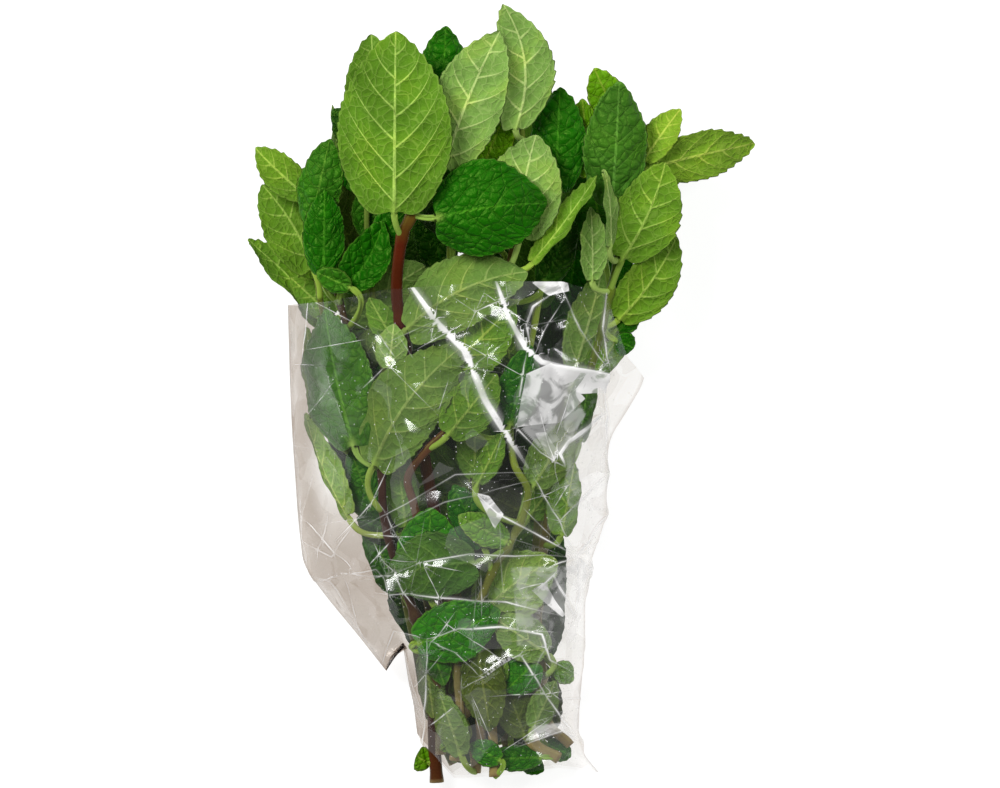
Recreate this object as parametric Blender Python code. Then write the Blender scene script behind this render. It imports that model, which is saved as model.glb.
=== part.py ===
"""Bunch of fresh mint in a clear film sleeve, lying on its back.

Frame: +Z up, +Y from the cut ends towards the leaf tips, +X to the right seen from above.
The origin is under the middle of the bunch, on the surface that it lies on.
All tables and all working below are in millimetres; object_from() turns them into metres.
"""

import math
import random
from collections import namedtuple

import bpy
import numpy as np
from mathutils.bvhtree import BVHTree

MM = 0.001

# ---------------------------------------------------------------- the sleeve's driving sizes
# Each row: y, left edge, right edge, height of the film over the surface.
SLEEVE_SECTIONS = (
    (-140, -26, 38.5, 27),
    (-131, -28, 31, 29),
    (-124, -30, 28.5, 30.5),
    (-112, -31.5, 29, 32),
    (-101, -34, 30, 35),
    (-98.5, -42.5, 30.5, 36),
    (-86, -52.5, 31, 39),
    (-74, -62.5, 31, 42),
    (-62, -71.5, 32.5, 46),
    (-45, -73.5, 38.5, 50),
    (-30, -74.5, 39, 54),
    (-16, -75.5, 39.5, 57.5),
    (-6, -76, 46, 60),
    (6, -76.5, 53, 62),
    (42, -77.5, 53, 63),
)
SLEEVE_EDGE = 8.0        # height of the side edges over the surface
SLEEVE_THICKNESS = 0.7
SLEEVE_POINTS_ROUND = 28
SLEEVE_LOWER_ROW = -112  # below this row the rows close up towards the bottom rim
SLEEVE_UPPER_ROW = -16   # above this row they close up towards the mouth
# The mouth and the bottom rim are cut on a slant: x, y of the rim.
MOUTH_FRONT = ((-77.5, 33), (-61, 34), (-41, 38), (-2, 41), (22, 41), (38, 37), (46, 14), (53, 6.5))
MOUTH_BACK = ((-77.5, 33), (20, 31), (40, 22), (53, 6.5))
BOTTOM_RIM = ((-29, -121), (-25, -128), (-19, -138.5), (0, -137), (18, -134.5), (28, -136), (38, -139.2))

# How far the leaves and stems may spread: y, left, right, and the highest z.
BUNCH_LIMITS = (
    (-141, -36, 27, 24),
    (-125, -28, 28, 27),
    (-106, -31, 28.5, 30),
    (-97, -33, 28.5, 33),
    (-86, -36, 27, 35),
    (-77, -44, 25, 38),
    (-59, -49, 27, 43),
    (-43, -58, 30, 47),
    (-23, -67, 33, 52),
    (-3, -74, 36.5, 56),
    (6, -74.8, 40, 58),
    (22, -75.8, 58, 59),
    (34, -80, 70, 60),
    (50, -98, 80, 74),
    (70, -99, 99, 82),
    (141, -99, 99, 82),
)
LOWEST_LEAF = 1.6        # of leaves and stems over the surface
FILM_CLEARANCE = 3.6     # of leaves under the film, to their middle

# ---------------------------------------------------------------- leaves
TEETH_PER_SIDE = 6
SMALL_LEAF = 34.0        # leaves shorter than this have fewer teeth
SMALL_LEAF_TEETH = 4
NOTCH_WIDTH = 0.90       # of the outline, at the foot of a tooth
TOOTH_WIDTH = 1.05       # of the outline, at its point
TOOTH_POINT = 0.8        # how far along its own length a tooth has its point
BLADE_START, BLADE_END = 0.05, 0.95
RIB_STATIONS = (0.0, 0.22, 0.46, 0.70)
RIB_DEPTH = (0.95, 0.85, 0.75, 0.6)      # rib, out of the underside
UPPER_DEPTH = (0.75, 0.35, 0.3, 0.25)    # blade, towards the upper side
STALK_RADIUS = 0.95
STALK_REACH = 8.0        # the stalk leaves the stem about this far behind the blade
TEST_MARGIN = 0.45       # extra depth and width of a leaf while its place is tested
# A leaf that crosses another is moved by x, y, z, the shortest moves first and down rather than sideways.
MOVES = [(x, y, -z) for x in (0, -3, 3, -6, 6) for y in (0, -3, 3, -6, 6) for z in np.arange(-12, 25, 1.5)]
MOVES.sort(key=lambda m: 2 * math.hypot(m[0], m[1]) + (abs(m[2]) if m[2] <= 0 else 2 * m[2]))

# base and tip are the blade's ends, side is the side that faces up, roll lowers the right margin,
# fold lifts both margins, bow lifts the middle and sweep pushes it to the right (shares of length).
Leaf = namedtuple("Leaf", "base tip width side roll fold bow sweep", defaults=("under", 0, 10, 0.05, 0))
Sprig = namedtuple("Sprig", "stem radius leaves")

SPRIGS = {
    "front_sprig": Sprig(
        ((-23, -140.4, 8), (-24, -118, 11), (-21, -90, 17), (-21, -59, 29), (-30, -8, 41), (-36, 27, 48),
         (-37, 41, 53), (-35, 57, 58), (-31.5, 65, 60), (-24, 86, 60), (-18, 100, 58)),
        (2.6, 2.3),
        (
            Leaf((-37.8, 66, 64), (-37.2, 130, 70), 41.5, "under", 0, 6, 0.05, 0),
            Leaf((-22.7, 63.7, 63), (17, 68.8, 60), 36, "upper", 6, -12, 0.09, -0.04),
            Leaf((-20, 82, 60), (0, 130.5, 62), 27, "under", 6, 8, 0.06, -0.03),
            Leaf((-43, 92, 54), (-46, 129.6, 55), 22, "under", -10),
            Leaf((-21, 98, 52), (-19.5, 132.8, 50), 20, "upper", 0, -10),
            Leaf((-47, 90, 50), (-60, 103, 47), 14, "upper", 0, -10),
            Leaf((-33, 24, 52), (10, 44.5, 54), 27, "under", -8, -8, 0.08, -0.08),
            Leaf((-38, 20, 47), (-47, 35.5, 49), 11, "under", -10),
            Leaf((-25.5, -133.5, 9.5), (-34, -130, 9.5), 9.5, "upper", 0, -8),
        ),
    ),
    "left_sprig": Sprig(
        ((-21.5, -130, 14), (-22.5, -106, 17.5), (-30.5, -80, 26.5), (-38, -59, 32), (-42, -42, 38),
         (-43, -26, 41), (-48.5, -1.5, 37), (-55, 24, 34.5), (-60, 42, 37.5), (-63, 59, 41), (-64, 72, 41)),
        (2.2, 1.1),
        (
            Leaf((-45, -24.5, 50), (-13, 18, 53), 28, "under", 4, -6, 0.05, -0.08),
            Leaf((-39.7, 10, 50), (-38, 26, 52), 12.5, "under", 0),
            Leaf((-46.5, -18, 45), (-57, 31.5, 42.5), 27, "upper", -5, -6, 0.04, -0.02),
            Leaf((-53.5, -40, 33), (-70, -3, 31), 20, "under", -12, 8, 0.03, -0.06),
            Leaf((-36, -83, 36), (-6, -71, 41), 23, "upper", 4, 4, 0.03, 0.04),
            Leaf((-36, -70, 31), (-49, -46, 33), 17, "upper", -4, -8),
            Leaf((-30, -91, 27), (-27, -114, 25), 12, "under", -6, 6),
            Leaf((-23, -86, 32), (-17, -105, 32), 12, "upper", 0, -8),
            Leaf((-56.5, 38.5, 45), (-42, 63, 47), 18, "upper", 0, 22, 0.02, 0.08),
            Leaf((-54, 36, 47), (-66, 41.5, 46), 10, "upper", 0, 25),
            Leaf((-63.5, 44, 45), (-63, 74.5, 47), 16, "upper", 4, -14),
            Leaf((-47, 57, 36), (-50, 75, 37), 11, "upper"),
        ),
    ),
    "far_left_sprig": Sprig(
        ((-17, -134, 4.5), (-27, -112, 6.5), (-31, -90, 12), (-38, -60, 19), (-47, -35, 24), (-55, -10, 27),
         (-61, 15, 28), (-65, 35, 29), (-68, 55, 32), (-68, 70, 34)),
        (1.9, 1.0),
        (
            Leaf((-62, 23, 27), (-93.6, 57, 30), 17, "under", 30, 24, 0.02, 0.06),
            Leaf((-64, 26, 19), (-79, 40, 17), 12, "under", 0),
            Leaf((-67.7, 46, 40), (-86.4, 76.5, 36), 24, "under", 12, 10, 0.04, 0.05),
            Leaf((-70, 72, 37), (-89, 89.6, 34), 14, "under", -6, 10),
            Leaf((-67.5, 62, 41), (-61, 92.5, 44), 17, "upper", -10, -12),
            Leaf((-60.5, 84, 32), (-60.5, 105, 36), 12, "under", 72, 10),
            Leaf((-63, -9, 24), (-71, 25, 22), 13, "under", -20, 10),
        ),
    ),
    "middle_sprig": Sprig(
        ((-9, -136.4, 13), (-7, -120, 17), (-12, -91.4, 22), (-25, -62, 34), (-31, -39, 42), (-33, -29, 45.5),
         (-26, -19, 48), (-17, -10, 48), (-8, 4, 47.5), (-2, 24, 48), (3, 45, 49), (7, 70, 50), (8, 92, 51),
         (6, 104, 51)),
        (2.1, 1.1),
        (
            Leaf((5.4, 96, 57), (1, 140.4, 57), 22, "under", 14, 12, 0.04, 0.12),
            Leaf((7, 57, 54), (13, 93.6, 55), 28, "under", 4, 6, 0.07, -0.04),
            Leaf((12, 48, 53), (35, 79.2, 52), 12, "under", -35, 34, 0.03, 0.04),
            Leaf((20.2, 74, 48), (21.6, 111, 49), 22, "upper", -4, -16),
            Leaf((-7, 80, 51), (3, 104, 52), 15, "upper", 0, -10),
            Leaf((16, 40, 49), (26, 65.2, 49), 14, "upper", 0, -14),
            Leaf((-18.4, -13.7, 51), (-1, 8, 53), 19, "under", 0, 6),
            Leaf((-22, 8, 51), (5.4, 34, 51), 23, "under", 0, -6, 0.06, 0.03),
            Leaf((3.6, -10.4, 47), (10.8, 18.4, 48), 16, "upper", 0, -10),
            Leaf((-1, 53, 46), (-24, 66, 44), 15, "upper", 0, -8),
            Leaf((-14, -124, 23), (-22, -101, 27), 12, "under", 0, 6),
        ),
    ),
    "right_sprig": Sprig(
        ((21, -131.4, 13), (11.5, -125, 17), (11.5, -113, 19), (15, -102, 20), (13.5, -76, 21), (18, -42, 28),
         (28, -6, 35), (37, 25, 36), (42, 49, 39), (46.5, 70, 40), (50.5, 84, 38), (53, 93, 37)),
        (2.2, 1.0),
        (
            Leaf((40.3, 69, 50), (42.8, 113, 53), 24, "upper", 4, -14),
            Leaf((44.3, 50, 46), (59.4, 84, 50), 25, "under", 10, 8, 0.05, 0.04),
            Leaf((43, 28, 41), (63.7, 57.6, 45), 20, "under", 14, 10, 0.04, 0.04),
            Leaf((36, 42, 47), (35.5, 68, 50), 13, "under", 16, 34),
            Leaf((39, 54, 52), (37, 81.4, 52), 11, "under", 62, 12),
            Leaf((27, 9.4, 40), (37, 45.4, 41), 17, "under", 8, 10),
            Leaf((22, -50, 38), (27, -24, 41), 15, "under", 0, 8),
            Leaf((29, -16, 42), (33, 11, 43), 14, "upper", 6, -8),
            Leaf((33, 6, 41), (46, 27, 40), 14, "under", 8, 8),
            Leaf((52, 85, 41), (65, 103.3, 42), 13, "under", -12, 14),
            Leaf((51.8, 82, 38), (94, 91.4, 33), 19, "under", 22, 8, 0.05, -0.03),
            Leaf((32.4, 79, 43), (29.5, 107, 43), 14, "upper", 0, -8),
            Leaf((43.5, 97, 42), (33.8, 118, 42), 15, "upper", 0, -10),
            Leaf((50.5, 56, 38), (63.5, 74.5, 38), 14, "upper", 0, -10),
            Leaf((42, 24, 36), (50, 31.5, 36), 10, "upper", 0, -12),
            Leaf((42, 20, 33), (50, 17, 32), 9, "upper", 0, -12),
            Leaf((16.5, -93, 32), (-2, -80, 33), 17, "under", 0, -6),
            Leaf((13, -96, 29), (1.5, -107, 28), 16, "upper", 0, -20, 0.1, 0),
            Leaf((9, -123, 22), (2, -104, 24), 15, "under", 0, 12),
            Leaf((12, -120, 24), (20, -103, 25), 11, "under", 0, 8),
            Leaf((20, -98, 23), (28, -103, 21), 9, "upper", 0, -8),
            Leaf((15, -131, 16), (-6, -132, 15), 10, "upper", 0, -8),
        ),
    ),
    "lower_sprig": Sprig(
        ((-16.5, -132, 17), (-14.5, -115.6, 21), (-15, -94, 28), (-11, -83.5, 32), (-3, -64, 37), (7, -46, 42),
         (10, -34, 45), (5, -24, 45), (4, -8, 42), (10, 14, 38), (15, 40, 37), (18, 62, 37), (19, 80, 37)),
        (2.0, 1.0),
        (
            Leaf((-6.8, -79, 36), (20.2, -58.7, 40), 26, "under", 6, 4, 0.05, -0.06),
            Leaf((5.4, -55.4, 44), (-12.2, -46, 43), 12, "upper", 0, -8),
            Leaf((-6, -54, 43), (-17, -32, 43), 15, "upper", 0, -10),
            Leaf((11, -43, 34), (25, -24.5, 33), 17, "under", 0, 6),
            Leaf((-9, -60, 45), (-42, -67, 41), 25, "under", 0, 4, 0.03, 0.06),
            Leaf((-26, -62, 38), (-25, -34, 43), 24, "upper", 0, -8),
            Leaf((12, -32, 43), (26, -9, 44), 17, "under", 6, 6),
            Leaf((-8, -31, 47), (1, -13, 47), 10, "under", 10, 20),
            Leaf((-8, -92, 32), (-3.5, -121.5, 28), 17, "under", 0, -6),
            Leaf((-12, -127, 17), (4, -111, 20), 14, "upper", 0, -8),
            Leaf((-10, -127.5, 13), (-19, -131, 12), 8, "upper", 0, -8),
        ),
    ),
    "inner_left_sprig": Sprig(
        ((-2, -138, 18), (-3, -118, 19), (-6, -95, 20), (-17, -70, 20), (-31, -48, 26), (-36, -30, 31),
         (-40, -8, 34), (-43, 18, 37), (-47, 45, 38), (-48, 68, 39), (-46, 88, 40)),
        (2.0, 1.0),
        (
            Leaf((-30, -62, 27), (-20, -36, 30), 14, "under", 0, 6),
            Leaf((-44, -46, 31), (-54, -19, 32), 15, "upper", -6, -8),
            Leaf((-45, 55, 43), (-27, 74, 43), 14, "upper", 0, -8),
            Leaf((-34, -47, 33), (-37, -21, 34), 13, "under", 0, 6),
            Leaf((-37, -62, 28), (-31, -43, 30), 14, "upper", 0, -10),
            Leaf((-16, -60, 41), (-9, -38, 42), 13, "upper", 0, -10),
            Leaf((-37, -50, 35), (-52, -44, 31), 12, "upper", 0, -8),
            Leaf((0, -132, 21), (-11, -126, 20), 10, "upper", 0, -8),
        ),
    ),
    "back_left_sprig": Sprig(
        ((-16, -126, 5), (-18, -108, 7), (-24, -85, 9), (-31, -55, 11), (-38, -25, 12), (-44, 5, 13),
         (-48, 35, 14), (-50, 60, 16), (-50, 84, 20)),
        (2.0, 1.0),
        (
            Leaf((-19, -101, 3.6), (-24, -125, 2.8), 13, "upper", 0, 0, 0, 0),
            Leaf((-26, -92, 4.5), (-38, -63, 5), 18, "upper", 0, 0, 0, 0),
            Leaf((-52, 62, 10), (-57, 90, 11), 15, "upper", 0, 0, 0, 0),
        ),
    ),
    "back_middle_sprig": Sprig(
        ((4, -135, 6), (1, -115, 8), (-3, -85, 9), (-6, -55, 11), (-9, -25, 12), (-10, 5, 13),
         (-10, 35, 14), (-9, 65, 17), (-8, 92, 22)),
        (2.1, 1.0),
        (
            Leaf((3, -105, 3.6), (8, -133, 2.6), 16, "upper", 0, 0, 0, 0),
            Leaf((-3, -101, 3.6), (-9, -131, 2.6), 17, "upper", 0, 0, 0, 0),
            Leaf((-6, -8, 5), (-1, 22, 6), 17, "upper", 0, 0, 0, 0),
            Leaf((-14, 2, 5), (-28, 26, 6), 16, "upper", 0, 0, 0, 0),
            Leaf((-19, -37, 6), (-24, -8, 6), 15, "upper", 0, 0, 0, 0),
            Leaf((-13, 64, 14), (-19, 90, 15), 14, "upper", 0, 0, 0, 0),
            Leaf((-20, 44, 12), (-28, 72, 13), 15, "upper", 0, 0, 0, 0),
        ),
    ),
    "back_right_sprig": Sprig(
        ((26, -127, 9), (17, -119, 10), (12, -109, 12), (12, -85, 13), (13, -55, 15), (17, -25, 16),
         (24, 5, 17), (31, 35, 18), (36, 60, 20), (38, 84, 23)),
        (2.0, 1.0),
        (
            Leaf((13, -98, 4), (18, -126, 2.8), 15, "upper", 0, 0, 0, 0),
            Leaf((16, -94, 4.5), (21, -48, 4.5), 15, "upper", 0, 0, 0, 0),
            Leaf((10, -6, 6), (6, 24, 6), 12, "upper", 0, 0, 0, 0),
            Leaf((20, -12, 6), (18, 33, 7), 17, "upper", 0, 0, 0, 0),
            Leaf((39, 32, 11), (44, 58, 12), 15, "upper", 0, 0, 0, 0),
            Leaf((24, 26, 9), (28, 58, 10), 16, "upper", 0, 0, 0, 0),
            Leaf((17, -127, 8), (27, -131, 8), 9, "upper", 0, -8),
            Leaf((8, -132, 10), (16, -136.5, 9), 8, "upper", 0, -8),
        ),
    ),
    "inner_sprig": Sprig(
        ((-9, -133, 6.5), (-11, -112, 10), (-9, -88, 15), (-6, -62, 21), (-9, -32, 25), (-16, 0, 27),
         (-18, 30, 29), (-18, 58, 32), (-14, 84, 35)),
        (2.0, 1.0),
        (),
    ),
}

# Wherever the bunch could be seen through from above, these deeper sprigs grow leaves to cover it.
FILL_SPRIGS = ("inner_left_sprig", "inner_sprig", "back_left_sprig", "back_middle_sprig", "back_right_sprig",
               "lower_sprig", "right_sprig", "far_left_sprig")
FILL_SEED = 5
FILL_GRID = 5.0
# Where a stem stays in view from above with a leaf below it: x, y and how far round it.
STEMS_IN_VIEW = ((-43, -38, 6), (-32, -37, 6), (-14, -92, 6), (-15, -112, 8), (-16, -128, 8), (-35, 52, 9),
                 (7, -24, 5), (22, -127, 9))
PAIR_SPACING = 16.0
FILL_LENGTH = (30.0, 46.0)
FILL_REACH = (12.0, 36.0)
FILL_LIFTS = (0, -5, 5, 10, -10, 16)
# The outline that they fill: y, left, right.
FILL_OUTLINE = ((-128, -22, 19), (-112, -24, 20), (-104, -26, 20), (-92, -26, 15), (-80, -36, 16),
                (-66, -40, 18), (-50, -49, 22), (-36, -58, 24), (-20, -66, 27), (0, -68, 35), (16, -69, 40),
                (26, -69, 45), (38, -76, 50), (52, -82, 57), (68, -82, 60), (80, -80, 64), (88, -62, 60),
                (98, -58, 56), (104, -57, 46), (109, -53, 20), (118, -50, 15), (126, -40, 6))


# ---------------------------------------------------------------- small helpers
def unit(v):
    return v / np.linalg.norm(v)


def smooth_path(points, spacing):
    """A Catmull-Rom curve through the points, as about evenly spaced points."""
    p = np.array(points, float)
    p = np.vstack([2 * p[0] - p[1], p, 2 * p[-1] - p[-2]])
    path = []
    for a, b, c, d in zip(p[:-3], p[1:-2], p[2:-1], p[3:]):
        steps = max(1, round(np.linalg.norm(c - b) / spacing))
        for t in np.arange(steps) / steps:
            path.append(0.5 * (2 * b + (c - a) * t + (2 * a - 5 * b + 4 * c - d) * t**2
                               + (3 * b - a - 3 * c + d) * t**3))
    path.append(p[-2])
    return np.array(path)


def soft_limit(value, low, high, free=0.7):
    """value as it is in the middle of the range, and pressed ever closer to low or high outside it."""
    middle, half = (low + high) / 2, (high - low) / 2
    s = (value - middle) / half
    over = np.maximum(np.abs(s) - free, 0)
    pressed = free + (1 - free) * np.tanh(over / (1 - free))
    return middle + half * np.where(np.abs(s) > free, np.sign(s) * pressed, s)


def turned(vectors, a, b):
    """The vectors turned by the smallest turn that takes direction a to direction b."""
    axis, c = np.cross(a, b), float(a @ b)
    return [v * c + np.cross(axis, v) + axis * (axis @ v) / (1 + c) for v in vectors]


def table_at(table, column, y):
    rows = np.array(table, float)
    return np.interp(y, rows[:, 0], rows[:, column])


# ---------------------------------------------------------------- the sleeve's form
def film_heights(share, y):
    """Lower and upper height of the film; share runs from -1 at the left edge to 1 at the right."""
    height = table_at(SLEEVE_SECTIONS, 3, y)
    share = np.clip(share, -1, 1)
    rise = np.sqrt(np.maximum(1 - share**2, 0)) ** np.where(share < 0, 1.25, 0.95)
    upper = SLEEVE_EDGE + (height - SLEEVE_EDGE) * rise
    lower = np.maximum(SLEEVE_EDGE * (np.abs(share) ** 6 * 1.25 - 0.25), 0)
    return lower, upper


def film_middle(y):
    left, right = table_at(SLEEVE_SECTIONS, 1, y), table_at(SLEEVE_SECTIONS, 2, y)
    return (left + right) / 2, (right - left) / 2


def pressed_in(points):
    """The points as the sleeve and the surface press them: moved only near the bunch's limits."""
    p = np.array(points, float)
    y = p[:, 1]
    p[:, 0] = soft_limit(p[:, 0], table_at(BUNCH_LIMITS, 1, y), table_at(BUNCH_LIMITS, 2, y), 0.8)
    middle, half = film_middle(y)
    lower, upper = film_heights((p[:, 0] - middle) / half, y)
    mouth = np.interp(p[:, 0], *np.array(MOUTH_FRONT).T)
    in_film = 1 - np.clip((y - mouth + 3) / 14, 0, 1)
    low = LOWEST_LEAF + lower * in_film
    high = table_at(BUNCH_LIMITS, 3, y) * (1 - in_film) + (upper - FILM_CLEARANCE) * in_film
    p[:, 2] = soft_limit(p[:, 2], low, high, 0.75)
    return p


def sleeve_rings():
    """The film's outer surface: rows of points from the bottom rim to the mouth."""
    angle = np.arange(SLEEVE_POINTS_ROUND) * 2 * math.pi / SLEEVE_POINTS_ROUND
    share, front = np.cos(angle), np.sin(angle) > -1e-9
    middle, half = film_middle(20.0)
    x = middle + half * share
    mouth = np.where(front, np.interp(x, *np.array(MOUTH_FRONT).T), np.interp(x, *np.array(MOUTH_BACK).T))
    middle, half = film_middle(-131.0)
    bottom = np.interp(middle + half * share, *np.array(BOTTOM_RIM).T)
    rows = [bottom + (SLEEVE_LOWER_ROW - bottom) * t for t in (0, 0.3, 0.65)]
    rows += [np.full(len(angle), float(r[0])) for r in SLEEVE_SECTIONS
             if SLEEVE_LOWER_ROW <= r[0] <= SLEEVE_UPPER_ROW]
    rows += [SLEEVE_UPPER_ROW + (mouth - SLEEVE_UPPER_ROW) * t for t in (0.25, 0.5, 0.75, 1)]
    rings = []
    for y in rows:
        middle, half = film_middle(y)
        lower, upper = film_heights(share, y)
        rings.append(np.column_stack([middle + half * share, y, np.where(front, upper, lower)]))
    return np.array(rings)


def sleeve_solid():
    """A tube of film, open at both ends, as one closed wall."""
    outer = sleeve_rings()
    rows, count = outer.shape[:2]
    round_ = np.roll(outer, -1, 1) - np.roll(outer, 1, 1)
    along = np.gradient(outer, axis=0)
    normal = np.cross(along, round_)
    normal /= np.linalg.norm(normal, axis=2, keepdims=True)
    inner = outer - normal * SLEEVE_THICKNESS
    points = np.concatenate([outer.reshape(-1, 3), inner.reshape(-1, 3)])
    faces, shift = [], rows * count
    for i in range(rows - 1):
        for j in range(count):
            a, b = i * count + j, i * count + (j + 1) % count
            faces.append((b, a, a + count, b + count))
            faces.append((shift + a, shift + b, shift + b + count, shift + a + count))
    for j in range(count):
        a, b = j, (j + 1) % count
        faces.append((a, b, shift + b, shift + a))
        a, b = a + (rows - 1) * count, b + (rows - 1) * count
        faces.append((b, a, shift + a, shift + b))
    return points, faces


# ---------------------------------------------------------------- stems and leaves
def stem_solid(path, radius):
    """A square stem along the path, tapered from the first radius to the second."""
    path = pressed_in(path)
    tangents = np.gradient(path, axis=0)
    tangents /= np.linalg.norm(tangents, axis=1, keepdims=True)
    across = [unit(np.cross(tangents[0], (0, 0, 1)))]
    for a, b in zip(tangents, tangents[1:]):
        across += turned([across[-1]], a, b)
    points, faces = [], []
    for k, (centre, tangent, side) in enumerate(zip(path, tangents, across)):
        r = radius[0] + (radius[1] - radius[0]) * k / (len(path) - 1)
        up = np.cross(side, tangent)
        points += [centre + r * (side * math.cos(a) + up * math.sin(a))
                   for a in np.radians((45, 135, 225, 315))]
    for k in range(len(path) - 1):
        for j in range(4):
            a, b = 4 * k + j, 4 * k + (j + 1) % 4
            faces.append((b, a, a + 4, b + 4))
    last = 4 * (len(path) - 1)
    faces += [(0, 1, 2, 3), (last + 3, last + 2, last + 1, last)]
    return np.array(points), faces


def half_width(u, width):
    """Half the width of an egg-shaped blade at share u of its length."""
    return width / 2 * u**0.55 * (1 - u) ** 0.75 / 0.4125


def leaf_frame(leaf):
    """Length, direction, right-hand side and face normal of a blade."""
    span = np.subtract(leaf.tip, leaf.base).astype(float)
    axis = unit(span)
    side = unit(np.cross(axis, (0, 0, 1)))
    normal = np.cross(side, axis)
    c, s = math.cos(math.radians(leaf.roll)), math.sin(math.radians(leaf.roll))
    return np.linalg.norm(span), axis, side * c - normal * s, normal * c + side * s


def blade_points(leaf, u, across):
    """Points of the blade's middle surface: u along it, across in millimetres from its rib."""
    length, axis, side, normal = leaf_frame(leaf)
    arch = 4 * u * (1 - u) * length
    fold = math.radians(leaf.fold)
    return (np.array(leaf.base, float) + np.outer(u * length, axis)
            + np.outer(arch * leaf.bow + np.abs(across) * math.sin(fold), normal)
            + np.outer(arch * leaf.sweep + across * math.cos(fold), side))


def margin(leaf, extra):
    """(u, half width) down one toothed margin."""
    length = np.linalg.norm(np.subtract(leaf.tip, leaf.base))
    teeth = SMALL_LEAF_TEETH if length < SMALL_LEAF else TEETH_PER_SIDE
    step = (BLADE_END - BLADE_START) / teeth
    u = np.array([BLADE_START + step * (k + t) for k in range(teeth) for t in (0, TOOTH_POINT)])
    scale = np.tile((NOTCH_WIDTH, TOOTH_WIDTH), teeth)
    return u, half_width(u, leaf.width) * scale + extra


def stalk_root(leaf, stem):
    """The point of the stem from which the leaf can grow with the least detour and without turning back."""
    length, axis, side, normal = leaf_frame(leaf)
    base = np.array(leaf.base, float)
    detour = np.linalg.norm(stem - (base - axis * STALK_REACH), axis=1)
    behind = (base - stem) @ axis
    return stem[np.argmin(detour + 3 * np.maximum(4 - behind, 0))]


def stalk_stations(leaf, stem):
    """Stations of the leaf stalk, from the middle of the stem to the blade: centre, side and normal."""
    length, axis, side, normal = leaf_frame(leaf)
    base, root = np.array(leaf.base, float), stalk_root(leaf, stem)
    bend = base - axis * 0.5 * np.linalg.norm(base - root)
    stations = []
    for t in (0.0, 0.5, 1.0):
        centre = (1 - t) ** 2 * root + 2 * t * (1 - t) * bend + t**2 * base
        tangent = unit((1 - t) * (bend - root) + t * (base - bend))
        stations.append((pressed_in([centre])[0], *turned([side, normal], axis, tangent)))
    return stations


def strip(a, ua, b, ub):
    """Triangles between two rows of point numbers, each row in order of its u."""
    faces, i, j = [], 0, 0
    while i < len(a) - 1 or j < len(b) - 1:
        if j == len(b) - 1 or (i < len(a) - 1 and ua[i + 1] <= ub[j + 1]):
            faces.append((a[i], a[i + 1], b[j]))
            i += 1
        else:
            faces.append((a[i], b[j + 1], b[j]))
            j += 1
    return [f for f in faces if len(set(f)) == 3]


def leaf_solid(leaf, stem, extra=0.0):
    """A toothed blade with its rib and stalk as one closed body, thin at its margins."""
    stations = stalk_stations(leaf, stem)
    radius = STALK_RADIUS + extra
    u_rib = np.array((*RIB_STATIONS, 1.0))
    u_edge, wide = margin(leaf, extra)
    rib = pressed_in(blade_points(leaf, u_rib, np.zeros(len(u_rib))))
    left_edge, right_edge = (pressed_in(blade_points(leaf, u_edge, w)) for w in (-wide, wide))
    chord = right_edge - left_edge
    across = [np.array([np.interp(u, u_edge, chord[:, k]) for k in range(3)]) for u in u_rib]
    normals = [unit(n) for n in np.cross(across, np.gradient(rib, axis=0))]
    ridge_depth = np.array((*RIB_DEPTH, 0)) + extra
    blade_depth = np.array((*UPPER_DEPTH, 0)) + extra
    over, below = (ridge_depth, blade_depth) if leaf.side == "under" else (blade_depth, ridge_depth)
    inner = slice(0, len(RIB_STATIONS))
    normals = np.array(normals)
    top = [c + n * radius for c, s, n in stations[:2]] + list(rib + normals * over[:, None])[inner]
    bottom = [c - n * radius for c, s, n in stations[:2]] + list(rib - normals * below[:, None])[inner]
    left = [c - s * radius for c, s, n in stations] + list(left_edge)
    right = [c + s * radius for c, s, n in stations] + list(right_edge)
    points = np.vstack([top, bottom, left, right, [rib[-1] + unit(rib[-1] - rib[-2]) * extra]])
    n, m, last = len(top), len(left), 2 * len(top) + 2 * len(left)
    u_mid = [-0.2, -0.1, *RIB_STATIONS, 1.0]
    u_side = [-0.2, -0.1, 0.0, *u_edge, 1.0]
    top_row, bottom_row = [*range(n), last], [*range(n, 2 * n), last]
    left_row, right_row = [*range(2 * n, 2 * n + m), last], [*range(2 * n + m, 2 * n + 2 * m), last]
    faces = [f[::-1] for f in strip(left_row, u_side, top_row, u_mid)]
    faces += strip(right_row, u_side, top_row, u_mid)
    faces += strip(left_row, u_side, bottom_row, u_mid)
    faces += [f[::-1] for f in strip(right_row, u_side, bottom_row, u_mid)]
    faces += [(0, 2 * n, n), (0, n, 2 * n + m)]
    return points, faces


# ---------------------------------------------------------------- placing the leaves
def tree_of(points, faces):
    return BVHTree.FromPolygons([tuple(p) for p in points], faces), points.min(0), points.max(0)


def near(a, b):
    return (a[1] < b[2]).all() and (a[2] > b[1]).all()


def crosses(a, b):
    return near(a, b) and bool(a[0].overlap(b[0]))


def crosses_itself(points, faces):
    tree = tree_of(points, faces)[0]
    return any(not set(faces[a]) & set(faces[b]) for a, b in tree.overlap(tree))


def leaf_trees(leaf, stem, extra=0.0):
    """Trees of the whole leaf, of its blade and of its stalk."""
    points, faces = leaf_solid(leaf, stem, extra)
    row = 2 + len(RIB_STATIONS)
    u_edge = len(margin(leaf, 0)[0])
    starts = (0, row, 2 * row, 2 * row + 3 + u_edge)
    stalk = {start + k for start in starts for k in range(2)} | {starts[2] + 2, starts[3] + 2}
    of_stalk = [f for f in faces if any(p in stalk for p in f)]
    of_blade = [f for f in faces if not any(p in stalk for p in f)]
    return [tree_of(points, faces), tree_of(points, of_blade), tree_of(points, of_stalk)]


def moved(leaf, move):
    return leaf._replace(base=tuple(np.add(leaf.base, move)), tip=tuple(np.add(leaf.tip, move)))


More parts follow.
